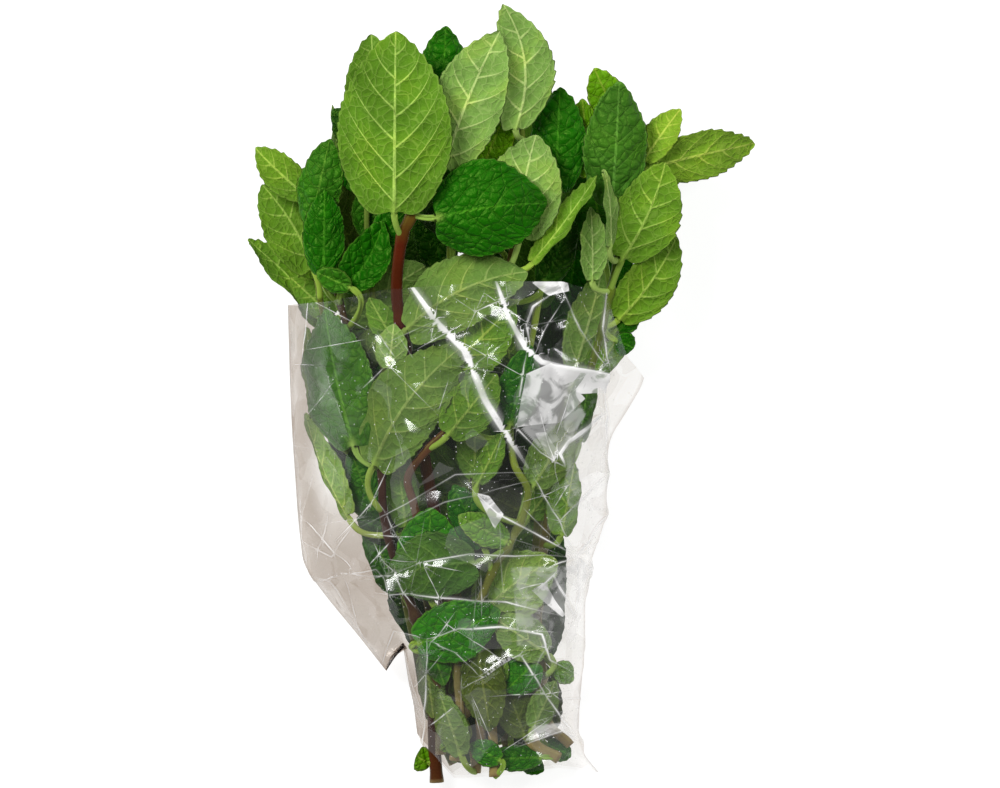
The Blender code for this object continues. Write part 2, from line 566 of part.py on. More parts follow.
class Bunch:
    """The stems and the leaves placed so far, each leaf clear of all the others."""

    def __init__(self, stems):
        self.stems = stems
        self.stem_trees = {name: tree_of(*stem_solid(stems[name], SPRIGS[name].radius)) for name in SPRIGS}
        self.film = tree_of(*sleeve_solid())
        self.placed = {name: [] for name in SPRIGS}
        self.trees = []

    def is_clear(self, leaf, name):
        """The leaf, a little enlarged, may touch only its own stem and the other leaf stalks on it."""
        whole, blade, stalk = leaf_trees(leaf, self.stems[name], TEST_MARGIN)
        if crosses_itself(*leaf_solid(leaf, self.stems[name])):
            return False
        others = [tree for other, tree in self.stem_trees.items() if other != name]
        if any(crosses(whole, tree) for tree in (self.film, *others)):
            return False
        for owner, (o_whole, o_blade, o_stalk) in self.trees:
            if not near(whole, o_whole):
                continue
            if owner != name and crosses(whole, o_whole):
                return False
            if owner == name and (crosses(whole, o_blade) or crosses(blade, o_stalk)):
                return False
        return True

    def settle(self, name, leaf, moves=((0, 0, 0),)):
        """Place the leaf, moved by the first of the moves that gives it room."""
        for move in moves:
            tried = moved(leaf, move)
            if self.is_clear(tried, name):
                self.placed[name].append(tried)
                self.trees.append((name, leaf_trees(tried, self.stems[name])))
                return True
        return False

    def top(self, x, y):
        """The height of the highest leaf over x, y, or 0."""
        hits = [tree.ray_cast((x, y, 200), (0, 0, -1))[0] for tree, low, high in (t[0] for _, t in self.trees)
                if low[0] < x < high[0] and low[1] < y < high[1]]
        return max((hit[2] for hit in hits if hit), default=0)

    def stem_top(self, x, y):
        """The height of the highest stem over x, y, or 0."""
        hits = [tree.ray_cast((x, y, 200), (0, 0, -1))[0] for tree, low, high in self.stem_trees.values()
                if low[0] < x < high[0] and low[1] < y < high[1]]
        return max((hit[2] for hit in hits if hit), default=0)

    def is_covered(self, x, y):
        """True if a leaf is on top at x, y, or a stem that stays in view, with a leaf under it."""
        leaf = self.top(x, y)
        in_view = any(math.hypot(x - a, y - b) < r for a, b, r in STEMS_IN_VIEW)
        return leaf > 0 and (in_view or leaf > self.stem_top(x, y))

    def is_below(self, leaf):
        """True if nothing that is already placed would be hidden under the leaf."""
        return all(not 0 < self.top(x, y) < z for x, y, z in pressed_in(blade_samples(leaf)))


def leaf_nodes(path):
    """The places along a stem from which leaves grow, with the stem's direction there."""
    along = np.concatenate([[0], np.cumsum(np.linalg.norm(np.diff(path, axis=0), axis=1))])
    for at in np.arange(PAIR_SPACING, along[-1], PAIR_SPACING):
        i = int(np.searchsorted(along, at))
        yield path[i], unit(path[i] - path[i - 1])


def blade_samples(leaf):
    along, across = np.array((0.1, 0.4, 0.4, 0.7, 1)), np.array((0, 0.45, -0.45, 0.3, 0))
    return blade_points(leaf, along, leaf.width * across)


def in_outline(leaf):
    """True if the blade keeps inside the outline of the fill."""
    edge = blade_samples(leaf)
    left, right = table_at(FILL_OUTLINE, 1, edge[:, 1]), table_at(FILL_OUTLINE, 2, edge[:, 1])
    return bool(((edge[:, 0] > left) & (edge[:, 0] < right) & (edge[:, 1] < FILL_OUTLINE[-1][0])).all())


def fill(bunch):
    """Grow leaves from the deeper sprigs wherever the bunch could be seen through."""
    rng = random.Random(FILL_SEED)
    nodes = [(name, *node) for name in FILL_SPRIGS for node in leaf_nodes(bunch.stems[name])]
    targets = []
    for y in np.arange(FILL_OUTLINE[0][0], FILL_OUTLINE[-1][0], FILL_GRID):
        left, right = table_at(FILL_OUTLINE, 1, y), table_at(FILL_OUTLINE, 2, y)
        targets += [(x, y) for x in np.arange(left + 2, right - 2, FILL_GRID)]
    rng.shuffle(targets)
    for x, y in targets:
        if bunch.is_covered(x, y):
            continue
        stem = bunch.stem_top(x, y)
        options = []
        for name, place, tangent in nodes:
            reach = math.hypot(x - place[0], y - place[1])
            heading = (np.array((x, y)) - place[:2]) / max(reach, 0.1)
            if FILL_REACH[0] < reach < FILL_REACH[1] and heading @ tangent[:2] > 0.1:
                options.append((reach + rng.uniform(-6, 6), name, place, heading))
        options.sort(key=lambda option: option[0])
        for reach, name, place, heading in options:
            length = min(rng.uniform(*FILL_LENGTH), (reach - 3) / 0.45)
            grown = False
            for lift in FILL_LIFTS:
                behind = 0.45 * length * np.array((*heading, -rng.uniform(-0.1, 0.2)))
                base = np.array((x, y, place[2] + lift)) - behind
                tip = base + length * np.array((*heading, rng.uniform(-0.1, 0.25)))
                width, side = length * rng.uniform(0.52, 0.64), rng.choice(("under", "upper"))
                leaf = Leaf(tuple(base), tuple(tip), width, side, rng.uniform(-15, 15),
                            rng.choice((-12, -8, 8, 12)), rng.uniform(0, 0.08), 0)
                if min(base[2], tip[2]) < stem + 2:
                    continue
                if length > 14 and in_outline(leaf) and bunch.is_below(leaf) and bunch.settle(name, leaf):
                    grown = True
                    break
            if grown:
                break


def grown_bunch(stems):
    bunch = Bunch(stems)
    given = [(name, leaf) for name, sprig in SPRIGS.items() for leaf in sprig.leaves]
    given.sort(key=lambda entry: -(entry[1].base[2] + entry[1].tip[2]))
    for name, leaf in given:
        bunch.settle(name, leaf, MOVES)
    fill(bunch)
    return bunch.placed


# ---------------------------------------------------------------- objects
def material(name, colour, roughness, alpha=1.0):
    made = bpy.data.materials.new(name)
    made.use_nodes = True
    shader = made.node_tree.nodes["Principled BSDF"]
    shader.inputs["Base Color"].default_value = (*colour, 1)
    shader.inputs["Roughness"].default_value = roughness
    shader.inputs["Metallic"].default_value = 0
    shader.inputs["Alpha"].default_value = alpha
    return made


def object_from(name, points, faces, finish):
    mesh = bpy.data.meshes.new(name)
    mesh.from_pydata([tuple(p * MM) for p in np.asarray(points)], [], faces)
    mesh.materials.append(finish)
    made = bpy.data.objects.new(name, mesh)
    bpy.context.scene.collection.objects.link(made)
    return made


def joined(stem, leaves):
    """The stem with its leaves, as one body."""
    group = bpy.data.collections.new(stem.name + "_leaves")
    for leaf in leaves:
        group.objects.link(leaf)
    union = stem.modifiers.new("leaves", "BOOLEAN")
    union.operation = "UNION"
    union.operand_type = "COLLECTION"
    union.collection = group
    union.solver = "EXACT"
    graph = bpy.context.evaluated_depsgraph_get()
    fused = bpy.data.meshes.new_from_object(stem.evaluated_get(graph))
    stem.modifiers.remove(union)
    stem.data = fused
    for leaf in leaves:
        bpy.data.objects.remove(leaf)
    bpy.data.collections.remove(group)


def main():
    for old in list(bpy.data.objects):
        bpy.data.objects.remove(old)
    leaf_green = material("leaf_green", (0.16, 0.34, 0.05), 0.5)
    clear_film = material("clear_film", (0.93, 0.94, 0.94), 0.08, 0.25)
    stems = {name: smooth_path(sprig.stem, 12) for name, sprig in SPRIGS.items()}
    leaves = grown_bunch(stems)
    for name, sprig in SPRIGS.items():
        stem = object_from(name, *stem_solid(stems[name], sprig.radius), leaf_green)
        blades = [object_from(f"{name}_leaf_{k}", *leaf_solid(leaf, stems[name]), leaf_green)
                  for k, leaf in enumerate(leaves[name])]
        joined(stem, blades)
    object_from("sleeve", *sleeve_solid(), clear_film)


main()
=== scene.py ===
# Looks of a bunch of fresh mint in a clear film sleeve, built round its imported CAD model.
import math
import random
import time
from collections import namedtuple

import bpy
import numpy as np
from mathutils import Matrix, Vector
from mathutils.bvhtree import BVHTree


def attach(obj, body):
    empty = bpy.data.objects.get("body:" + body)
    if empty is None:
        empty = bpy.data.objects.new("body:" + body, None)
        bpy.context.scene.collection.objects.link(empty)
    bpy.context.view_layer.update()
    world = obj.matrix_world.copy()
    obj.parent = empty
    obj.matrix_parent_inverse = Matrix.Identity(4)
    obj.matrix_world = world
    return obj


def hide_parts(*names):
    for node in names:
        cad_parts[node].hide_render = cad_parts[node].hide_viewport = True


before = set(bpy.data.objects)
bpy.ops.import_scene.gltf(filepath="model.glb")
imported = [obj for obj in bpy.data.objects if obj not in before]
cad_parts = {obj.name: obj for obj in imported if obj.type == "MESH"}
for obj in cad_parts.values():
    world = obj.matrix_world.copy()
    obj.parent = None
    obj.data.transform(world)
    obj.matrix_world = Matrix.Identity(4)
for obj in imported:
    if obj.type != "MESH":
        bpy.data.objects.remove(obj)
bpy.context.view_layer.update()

# Every length is in millimetres until meshFrom writes the points in metres.


def unit(v):
    return v / np.linalg.norm(v)


# A Catmull-Rom curve through the points, as about evenly spaced points.
def smoothPath(points, spacing):
    p = np.array(points, float)
    p = np.vstack([2 * p[0] - p[1], p, 2 * p[-1] - p[-2]])
    path = []
    for a, b, c, d in zip(p[:-3], p[1:-2], p[2:-1], p[3:]):
        steps = max(1, round(np.linalg.norm(c - b) / spacing))
        t = (np.arange(steps) / steps)[:, None]
        path.append(0.5 * (2 * b + (c - a) * t + (2 * a - 5 * b + 4 * c - d) * t**2
                           + (3 * b - a - 3 * c + d) * t**3))
    return np.vstack([*path, p[-2]])


# How far along the path each of its points is.
def lengthAlong(path):
    return np.concatenate([[0], np.cumsum(np.linalg.norm(np.diff(path, axis=0), axis=1))])


# value as it is in the middle of the range, and pressed ever closer to low or high outside it.
def softLimit(value, low, high, free):
    middle, half = (low + high) / 2, (high - low) / 2
    s = (value - middle) / half
    over = np.maximum(np.abs(s) - free, 0)
    pressed = free + (1 - free) * np.tanh(over / (1 - free))
    return middle + half * np.where(np.abs(s) > free, np.sign(s) * pressed, s)


# The vectors turned by the smallest turn that takes direction a to direction b.
def turned(vectors, a, b):
    axis, c = np.cross(a, b), float(a @ b)
    return [v * c + np.cross(axis, v) + axis * (axis @ v) / (1 + c) for v in vectors]


# Directions along a path and across it, the second carried on without a twist.
def framesAlong(path):
    tangents = np.gradient(path, axis=0)
    tangents /= np.linalg.norm(tangents, axis=1, keepdims=True)
    across = [unit(np.cross(tangents[0], (0, 0, 1)))]
    for a, b in zip(tangents, tangents[1:]):
        across += turned([across[-1]], a, b)
    return tangents, np.array(across)


def tableAt(table, column, y):
    rows = np.array(table, float)
    return np.interp(y, rows[:, 0], rows[:, column])


# A rim given as x, y points: its y at x.
def rimAt(rim, x):
    return np.interp(x, *np.array(rim).T)


def smoothStep(value, low, high):
    t = np.clip((value - low) / (high - low), 0, 1)
    return t * t * (3 - 2 * t)


def srgb(r, g, b):  # the linear colour of a screen colour from 0 to 255
    c = np.array((r, g, b)) / 255
    return np.where(c <= 0.04045, c / 12.92, ((c + 0.055) / 1.055) ** 2.4)


# Numbers of the first and second point of each edge round a tube's rows, the last row left out.
def ringEdges(rows, count):
    i, j = np.meshgrid(np.arange(rows - 1), np.arange(count), indexing="ij")
    return (i * count + j).ravel(), (i * count + (j + 1) % count).ravel()


# The arrays side by side, as the columns of a table of faces or vectors.
def stacked(*columns):
    return np.stack(columns, -1)


sleeveForm = {
    "sections": (  # y, left edge, right edge, height of the film over the surface
        (-140, -26, 38.5, 27), (-131, -28, 31, 29), (-124, -30, 28.5, 30.5), (-112, -31.5, 29, 32),
        (-101, -34, 30, 35), (-98.5, -42.5, 30.5, 36), (-86, -52.5, 31, 39), (-74, -62.5, 31, 42),
        (-62, -71.5, 32.5, 46), (-45, -73.5, 38.5, 50), (-30, -74.5, 39, 54), (-16, -75.5, 39.5, 57.5),
        (-6, -76, 46, 60), (6, -76.5, 53, 62), (42, -77.5, 53, 63),
    ),
    "edge": 8.0,               # height of the side edges over the surface
    "wall": 0.7,               # thickness of the wall that the leaves are kept clear of
    "pointsRound": 28,
    "lowerRow": -112,          # below this row the wall's rows close up towards the bottom rim
    "upperRow": -16,           # above this row they close up towards the mouth
    "mouthAt": 20.0, "bottomAt": -131.0,    # y of the sections from which the rims' x are taken
    # the mouth and the bottom rim are cut on a slant: x, y
    "mouthFront": ((-77.5, 33), (-61, 34), (-41, 38), (-2, 41), (22, 41), (38, 37), (46, 14), (53, 6.5)),
    "mouthBack": ((-77.5, 33), (20, 31), (40, 22), (53, 6.5)),
    "bottomRim": ((-29, -121), (-25, -128), (-19, -138.5), (0, -137), (18, -134.5), (28, -136), (38, -139.2)),
    "leftRise": 1.25, "rightRise": 0.95,    # how the film rises from its edges: exponents of a half ellipse
}


# Lower and upper height of the film: share runs from -1 at the left edge to 1 at the right one, over it
# the film rises as a half ellipse raised to a power, and under it only the edges lift off the surface.
def filmHeights(share, height, leftRise=sleeveForm["leftRise"], isLeft=None):
    share = np.clip(share, -1, 1)
    isLeft = share < 0 if isLeft is None else isLeft
    rise = np.sqrt(np.maximum(1 - share**2, 0)) ** np.where(isLeft, leftRise, sleeveForm["rightRise"])
    edge = sleeveForm["edge"]
    return np.maximum(edge * (np.abs(share) ** 6 * 1.25 - 0.25), 0), edge + (height - edge) * rise


def filmMiddle(y):
    left, right = (tableAt(sleeveForm["sections"], k, y) for k in (1, 2))
    return (left + right) / 2, (right - left) / 2


def filmHeightAt(y):
    return tableAt(sleeveForm["sections"], 3, y)


# y of the bottom rim and of the mouth for each share across the film.
def sleeveRims(share, front):
    middle, half = filmMiddle(sleeveForm["mouthAt"])
    x = middle + half * share
    mouth = np.where(front, rimAt(sleeveForm["mouthFront"], x), rimAt(sleeveForm["mouthBack"], x))
    middle, half = filmMiddle(sleeveForm["bottomAt"])
    return rimAt(sleeveForm["bottomRim"], middle + half * share), mouth


# The wall's outer surface: rows of points from the bottom rim to the mouth.
def sleeveRings():
    form = sleeveForm
    angle = np.arange(form["pointsRound"]) * 2 * math.pi / form["pointsRound"]
    share, front = np.cos(angle), np.sin(angle) > -1e-9
    bottom, mouth = sleeveRims(share, front)
    low, high = form["lowerRow"], form["upperRow"]
    rows = [bottom + (low - bottom) * t for t in (0, 0.3, 0.65)]
    rows += [np.full(len(angle), float(r[0])) for r in form["sections"] if low <= r[0] <= high]
    rows += [high + (mouth - high) * t for t in (0.25, 0.5, 0.75, 1)]
    rings = []
    for y in rows:
        middle, half = filmMiddle(y)
        lower, upper = filmHeights(share, filmHeightAt(y))
        rings.append(np.column_stack([middle + half * share, y, np.where(front, upper, lower)]))
    return np.array(rings)


# A tube of film, open at both ends, as one closed wall.
def sleeveSolid():
    outer = sleeveRings()
    rows, count = outer.shape[:2]
    normal = np.cross(np.gradient(outer, axis=0), np.roll(outer, -1, 1) - np.roll(outer, 1, 1))
    normal /= np.linalg.norm(normal, axis=2, keepdims=True)
    inner = outer - normal * sleeveForm["wall"]
    points = np.concatenate([outer.reshape(-1, 3), inner.reshape(-1, 3)])
    shift = rows * count
    a, b = ringEdges(rows, count)
    ends = ringEdges(2, count)
    low, lowNext, high, highNext = (e + start for start in (0, shift - count) for e in ends)
    faces = np.concatenate([
        stacked(b, a, a + count, b + count),
        stacked(a, b, b + count, a + count) + shift,
        stacked(low, lowNext, lowNext + shift, low + shift),
        stacked(highNext, high, high + shift, highNext + shift),
    ])
    return points, faces.tolist()


bunchForm = {
    "limits": (  # how far the leaves and stems may spread: y, left, right, and the highest z
        (-141, -36, 27, 24), (-125, -28, 28, 27), (-106, -31, 28.5, 30), (-97, -33, 28.5, 33),
        (-86, -36, 27, 35), (-77, -44, 25, 38), (-59, -49, 27, 43), (-43, -58, 30, 47), (-23, -67, 33, 52),
        (-3, -74, 36.5, 56), (6, -74.8, 40, 58), (22, -75.8, 58, 59), (34, -80, 70, 60), (50, -98, 80, 74),
        (70, -99, 99, 82), (141, -99, 99, 82),
    ),
    "lowest": 1.6,                      # of leaves and stems over the surface
    "clearance": 3.6,                   # of leaves under the film, to their middle
    "freeAcross": 0.8, "freeUp": 0.75,  # share of the room in which nothing is pressed
    "mouthFade": (-3, 11),              # the film's pressure fades between these distances past the mouth
}


# The points as the sleeve and the surface press them: moved only near the bunch's limits.
def pressedIn(points):
    form = bunchForm
    p = np.array(points, float)
    y = p[:, 1]
    left, right, highest = (tableAt(form["limits"], k, y) for k in (1, 2, 3))
    p[:, 0] = softLimit(p[:, 0], left, right, form["freeAcross"])
    middle, half = filmMiddle(y)
    lower, upper = filmHeights((p[:, 0] - middle) / half, filmHeightAt(y))
    begin, end = form["mouthFade"]
    past = y - rimAt(sleeveForm["mouthFront"], p[:, 0])
    inFilm = 1 - np.clip((past - begin) / (end - begin), 0, 1)
    low = form["lowest"] + lower * inFilm
    high = highest * (1 - inFilm) + (upper - form["clearance"]) * inFilm
    p[:, 2] = softLimit(p[:, 2], low, high, form["freeUp"])
    return p


# A square stem along the path, tapered from the first radius to the second.
def stemSolid(path, radius):
    path = pressedIn(path)
    tangents, across = framesAlong(path)
    points = []
    for k, (centre, tangent, side) in enumerate(zip(path, tangents, across)):
        r = radius[0] + (radius[1] - radius[0]) * k / (len(path) - 1)
        up = np.cross(side, tangent)
        points += [centre + r * (side * math.cos(a) + up * math.sin(a))
                   for a in np.radians((45, 135, 225, 315))]
    a, b = ringEdges(len(path), 4)
    last = 4 * (len(path) - 1)
    ends = [(0, 1, 2, 3), (last + 3, last + 2, last + 1, last)]
    return np.array(points), stacked(b, a, a + 4, b + 4).tolist() + ends


# A leaf's row: base and tip are the blade's ends, side is the side that faces up, roll lowers the right
# margin, fold lifts both margins, bow lifts the middle and sweep pushes it to the right (shares of length).
Leaf = namedtuple("Leaf", "base tip width tone side roll fold bow sweep",
                  defaults=(None, "under", 0, 10, 0.05, 0))

leafForm = {
    "teeth": 6, "smallTeeth": 4,             # to a side, of a large leaf and of a small one
    "small": 34.0,                           # length under which a leaf is small
    "notch": 0.90, "toothWidth": 1.05,       # shares of the outline at the foot of a tooth and at its point
    "toothPoint": 0.8,                       # how far along its own length a tooth has its point
    "toothed": (0.05, 0.95),                 # the stretch of the blade that has teeth
    "ribAt": (0.0, 0.22, 0.46, 0.70),
    "ribDepth": (0.95, 0.85, 0.75, 0.6),     # rib, out of the underside
    "upperDepth": (0.75, 0.35, 0.3, 0.25),   # blade, towards the upper side
    "stalkRadius": 0.95,
    "stalkReach": 8.0,                       # the stalk leaves the stem about this far behind the blade
    "stalkAhead": 4.0,                       # each millimetre short of this counts as three of detour
    "testMargin": 0.45,                      # extra depth and width of a leaf while its place is tested
}


# Half the width of an egg-shaped blade at share u of its length: u^0.55 (1 - u)^0.75, made 1 at its widest.
def halfWidth(u, width):
    return width / 2 * u**0.55 * (1 - u) ** 0.75 / 0.4125


# Length, direction, right-hand side and face normal of a blade.
def leafFrame(leaf):
    span = np.subtract(leaf.tip, leaf.base).astype(float)
    axis = unit(span)
    side = unit(np.cross(axis, (0, 0, 1)))
    normal = np.cross(side, axis)
    c, s = math.cos(math.radians(leaf.roll)), math.sin(math.radians(leaf.roll))
    return np.linalg.norm(span), axis, side * c - normal * s, normal * c + side * s


# Points of the blade's middle surface: u along it, across in millimetres from its rib.
def bladePoints(leaf, u, across):
    length, axis, side, normal = leafFrame(leaf)
    arch = 4 * u * (1 - u) * length
    fold = math.radians(leaf.fold)
    return (np.array(leaf.base, float) + np.outer(u * length, axis)
            + np.outer(arch * leaf.bow + np.abs(across) * math.sin(fold), normal)
            + np.outer(arch * leaf.sweep + across * math.cos(fold), side))


# (u, half width) down one toothed margin.
def margin(leaf, extra):
    form = leafForm
    isSmall = leafFrame(leaf)[0] < form["small"]
    teeth = form["smallTeeth"] if isSmall else form["teeth"]
    start, end = form["toothed"]
    step = (end - start) / teeth
    u = np.array([start + step * (k + t) for k in range(teeth) for t in (0, form["toothPoint"])])
    return u, halfWidth(u, leaf.width) * np.tile((form["notch"], form["toothWidth"]), teeth) + extra


# The point of the stem from which the leaf can grow with the least detour and without turning back.
def stalkRoot(leaf, stem):
    axis, base = leafFrame(leaf)[1], np.array(leaf.base, float)
    detour = np.linalg.norm(stem - (base - axis * leafForm["stalkReach"]), axis=1)
    behind = (base - stem) @ axis
    return stem[np.argmin(detour + 3 * np.maximum(leafForm["stalkAhead"] - behind, 0))]


# Stations of the leaf stalk at shares of a curve from the middle of the stem to the blade, which bends at a
# point behind the blade: centre, side and normal.
def stalkStations(leaf, stem, shares=(0.0, 0.5, 1.0)):
    axis, side, normal = leafFrame(leaf)[1:]
    base, root = np.array(leaf.base, float), stalkRoot(leaf, stem)
    bend = base - axis * 0.5 * np.linalg.norm(base - root)
    stations = []
    for t in shares:
        centre = (1 - t) ** 2 * root + 2 * t * (1 - t) * bend + t**2 * base
        tangent = unit((1 - t) * (bend - root) + t * (base - bend))
        stations.append((pressedIn([centre])[0], *turned([side, normal], axis, tangent)))
    return stations


# Triangles between two rows of point numbers, each row in order of its u.
def strip(a, ua, b, ub):
    faces, i, j = [], 0, 0
    while i < len(a) - 1 or j < len(b) - 1:
        if j == len(b) - 1 or (i < len(a) - 1 and ua[i + 1] <= ub[j + 1]):
            faces.append((a[i], a[i + 1], b[j]))
            i += 1
        else:
            faces.append((a[i], b[j + 1], b[j]))
            j += 1
    return [f for f in faces if len(set(f)) == 3]


# A toothed blade with its rib and stalk as one closed body, thin at its margins.
def leafSolid(leaf, stem, extra=0.0):
    stations = stalkStations(leaf, stem)
    radius = leafForm["stalkRadius"] + extra
    ribAt = leafForm["ribAt"]
    uRib = np.array((*ribAt, 1.0))
    uEdge, wide = margin(leaf, extra)
    rib = pressedIn(bladePoints(leaf, uRib, np.zeros(len(uRib))))
    leftEdge, rightEdge = (pressedIn(bladePoints(leaf, uEdge, w)) for w in (-wide, wide))
    chord = rightEdge - leftEdge
    across = [np.array([np.interp(u, uEdge, chord[:, k]) for k in range(3)]) for u in uRib]
    normals = np.array([unit(n) for n in np.cross(across, np.gradient(rib, axis=0))])
    over, below = (np.array((*leafForm[key], 0))[:, None] + extra for key in ("upperDepth", "ribDepth"))
    if leaf.side == "under":
        over, below = below, over
    inner = slice(0, len(ribAt))
    top = [c + n * radius for c, s, n in stations[:2]] + list(rib + normals * over)[inner]
    bottom = [c - n * radius for c, s, n in stations[:2]] + list(rib - normals * below)[inner]
    left = [c - s * radius for c, s, n in stations] + list(leftEdge)
    right = [c + s * radius for c, s, n in stations] + list(rightEdge)
    points = np.vstack([top, bottom, left, right, [rib[-1] + unit(rib[-1] - rib[-2]) * extra]])
    n, m, last = len(top), len(left), 2 * len(top) + 2 * len(left)
    uMid = [-0.2, -0.1, *ribAt, 1.0]
    uSide = [-0.2, -0.1, 0.0, *uEdge, 1.0]
    topRow, bottomRow = [*range(n), last], [*range(n, 2 * n), last]
    leftRow, rightRow = [*range(2 * n, 2 * n + m), last], [*range(2 * n + m, 2 * n + 2 * m), last]
    faces = [f[::-1] for f in strip(leftRow, uSide, topRow, uMid)]
    faces += strip(rightRow, uSide, topRow, uMid)
    faces += strip(leftRow, uSide, bottomRow, uMid)
    faces += [f[::-1] for f in strip(rightRow, uSide, bottomRow, uMid)]
    faces += [(0, 2 * n, n), (0, n, 2 * n + m)]
    return points, faces


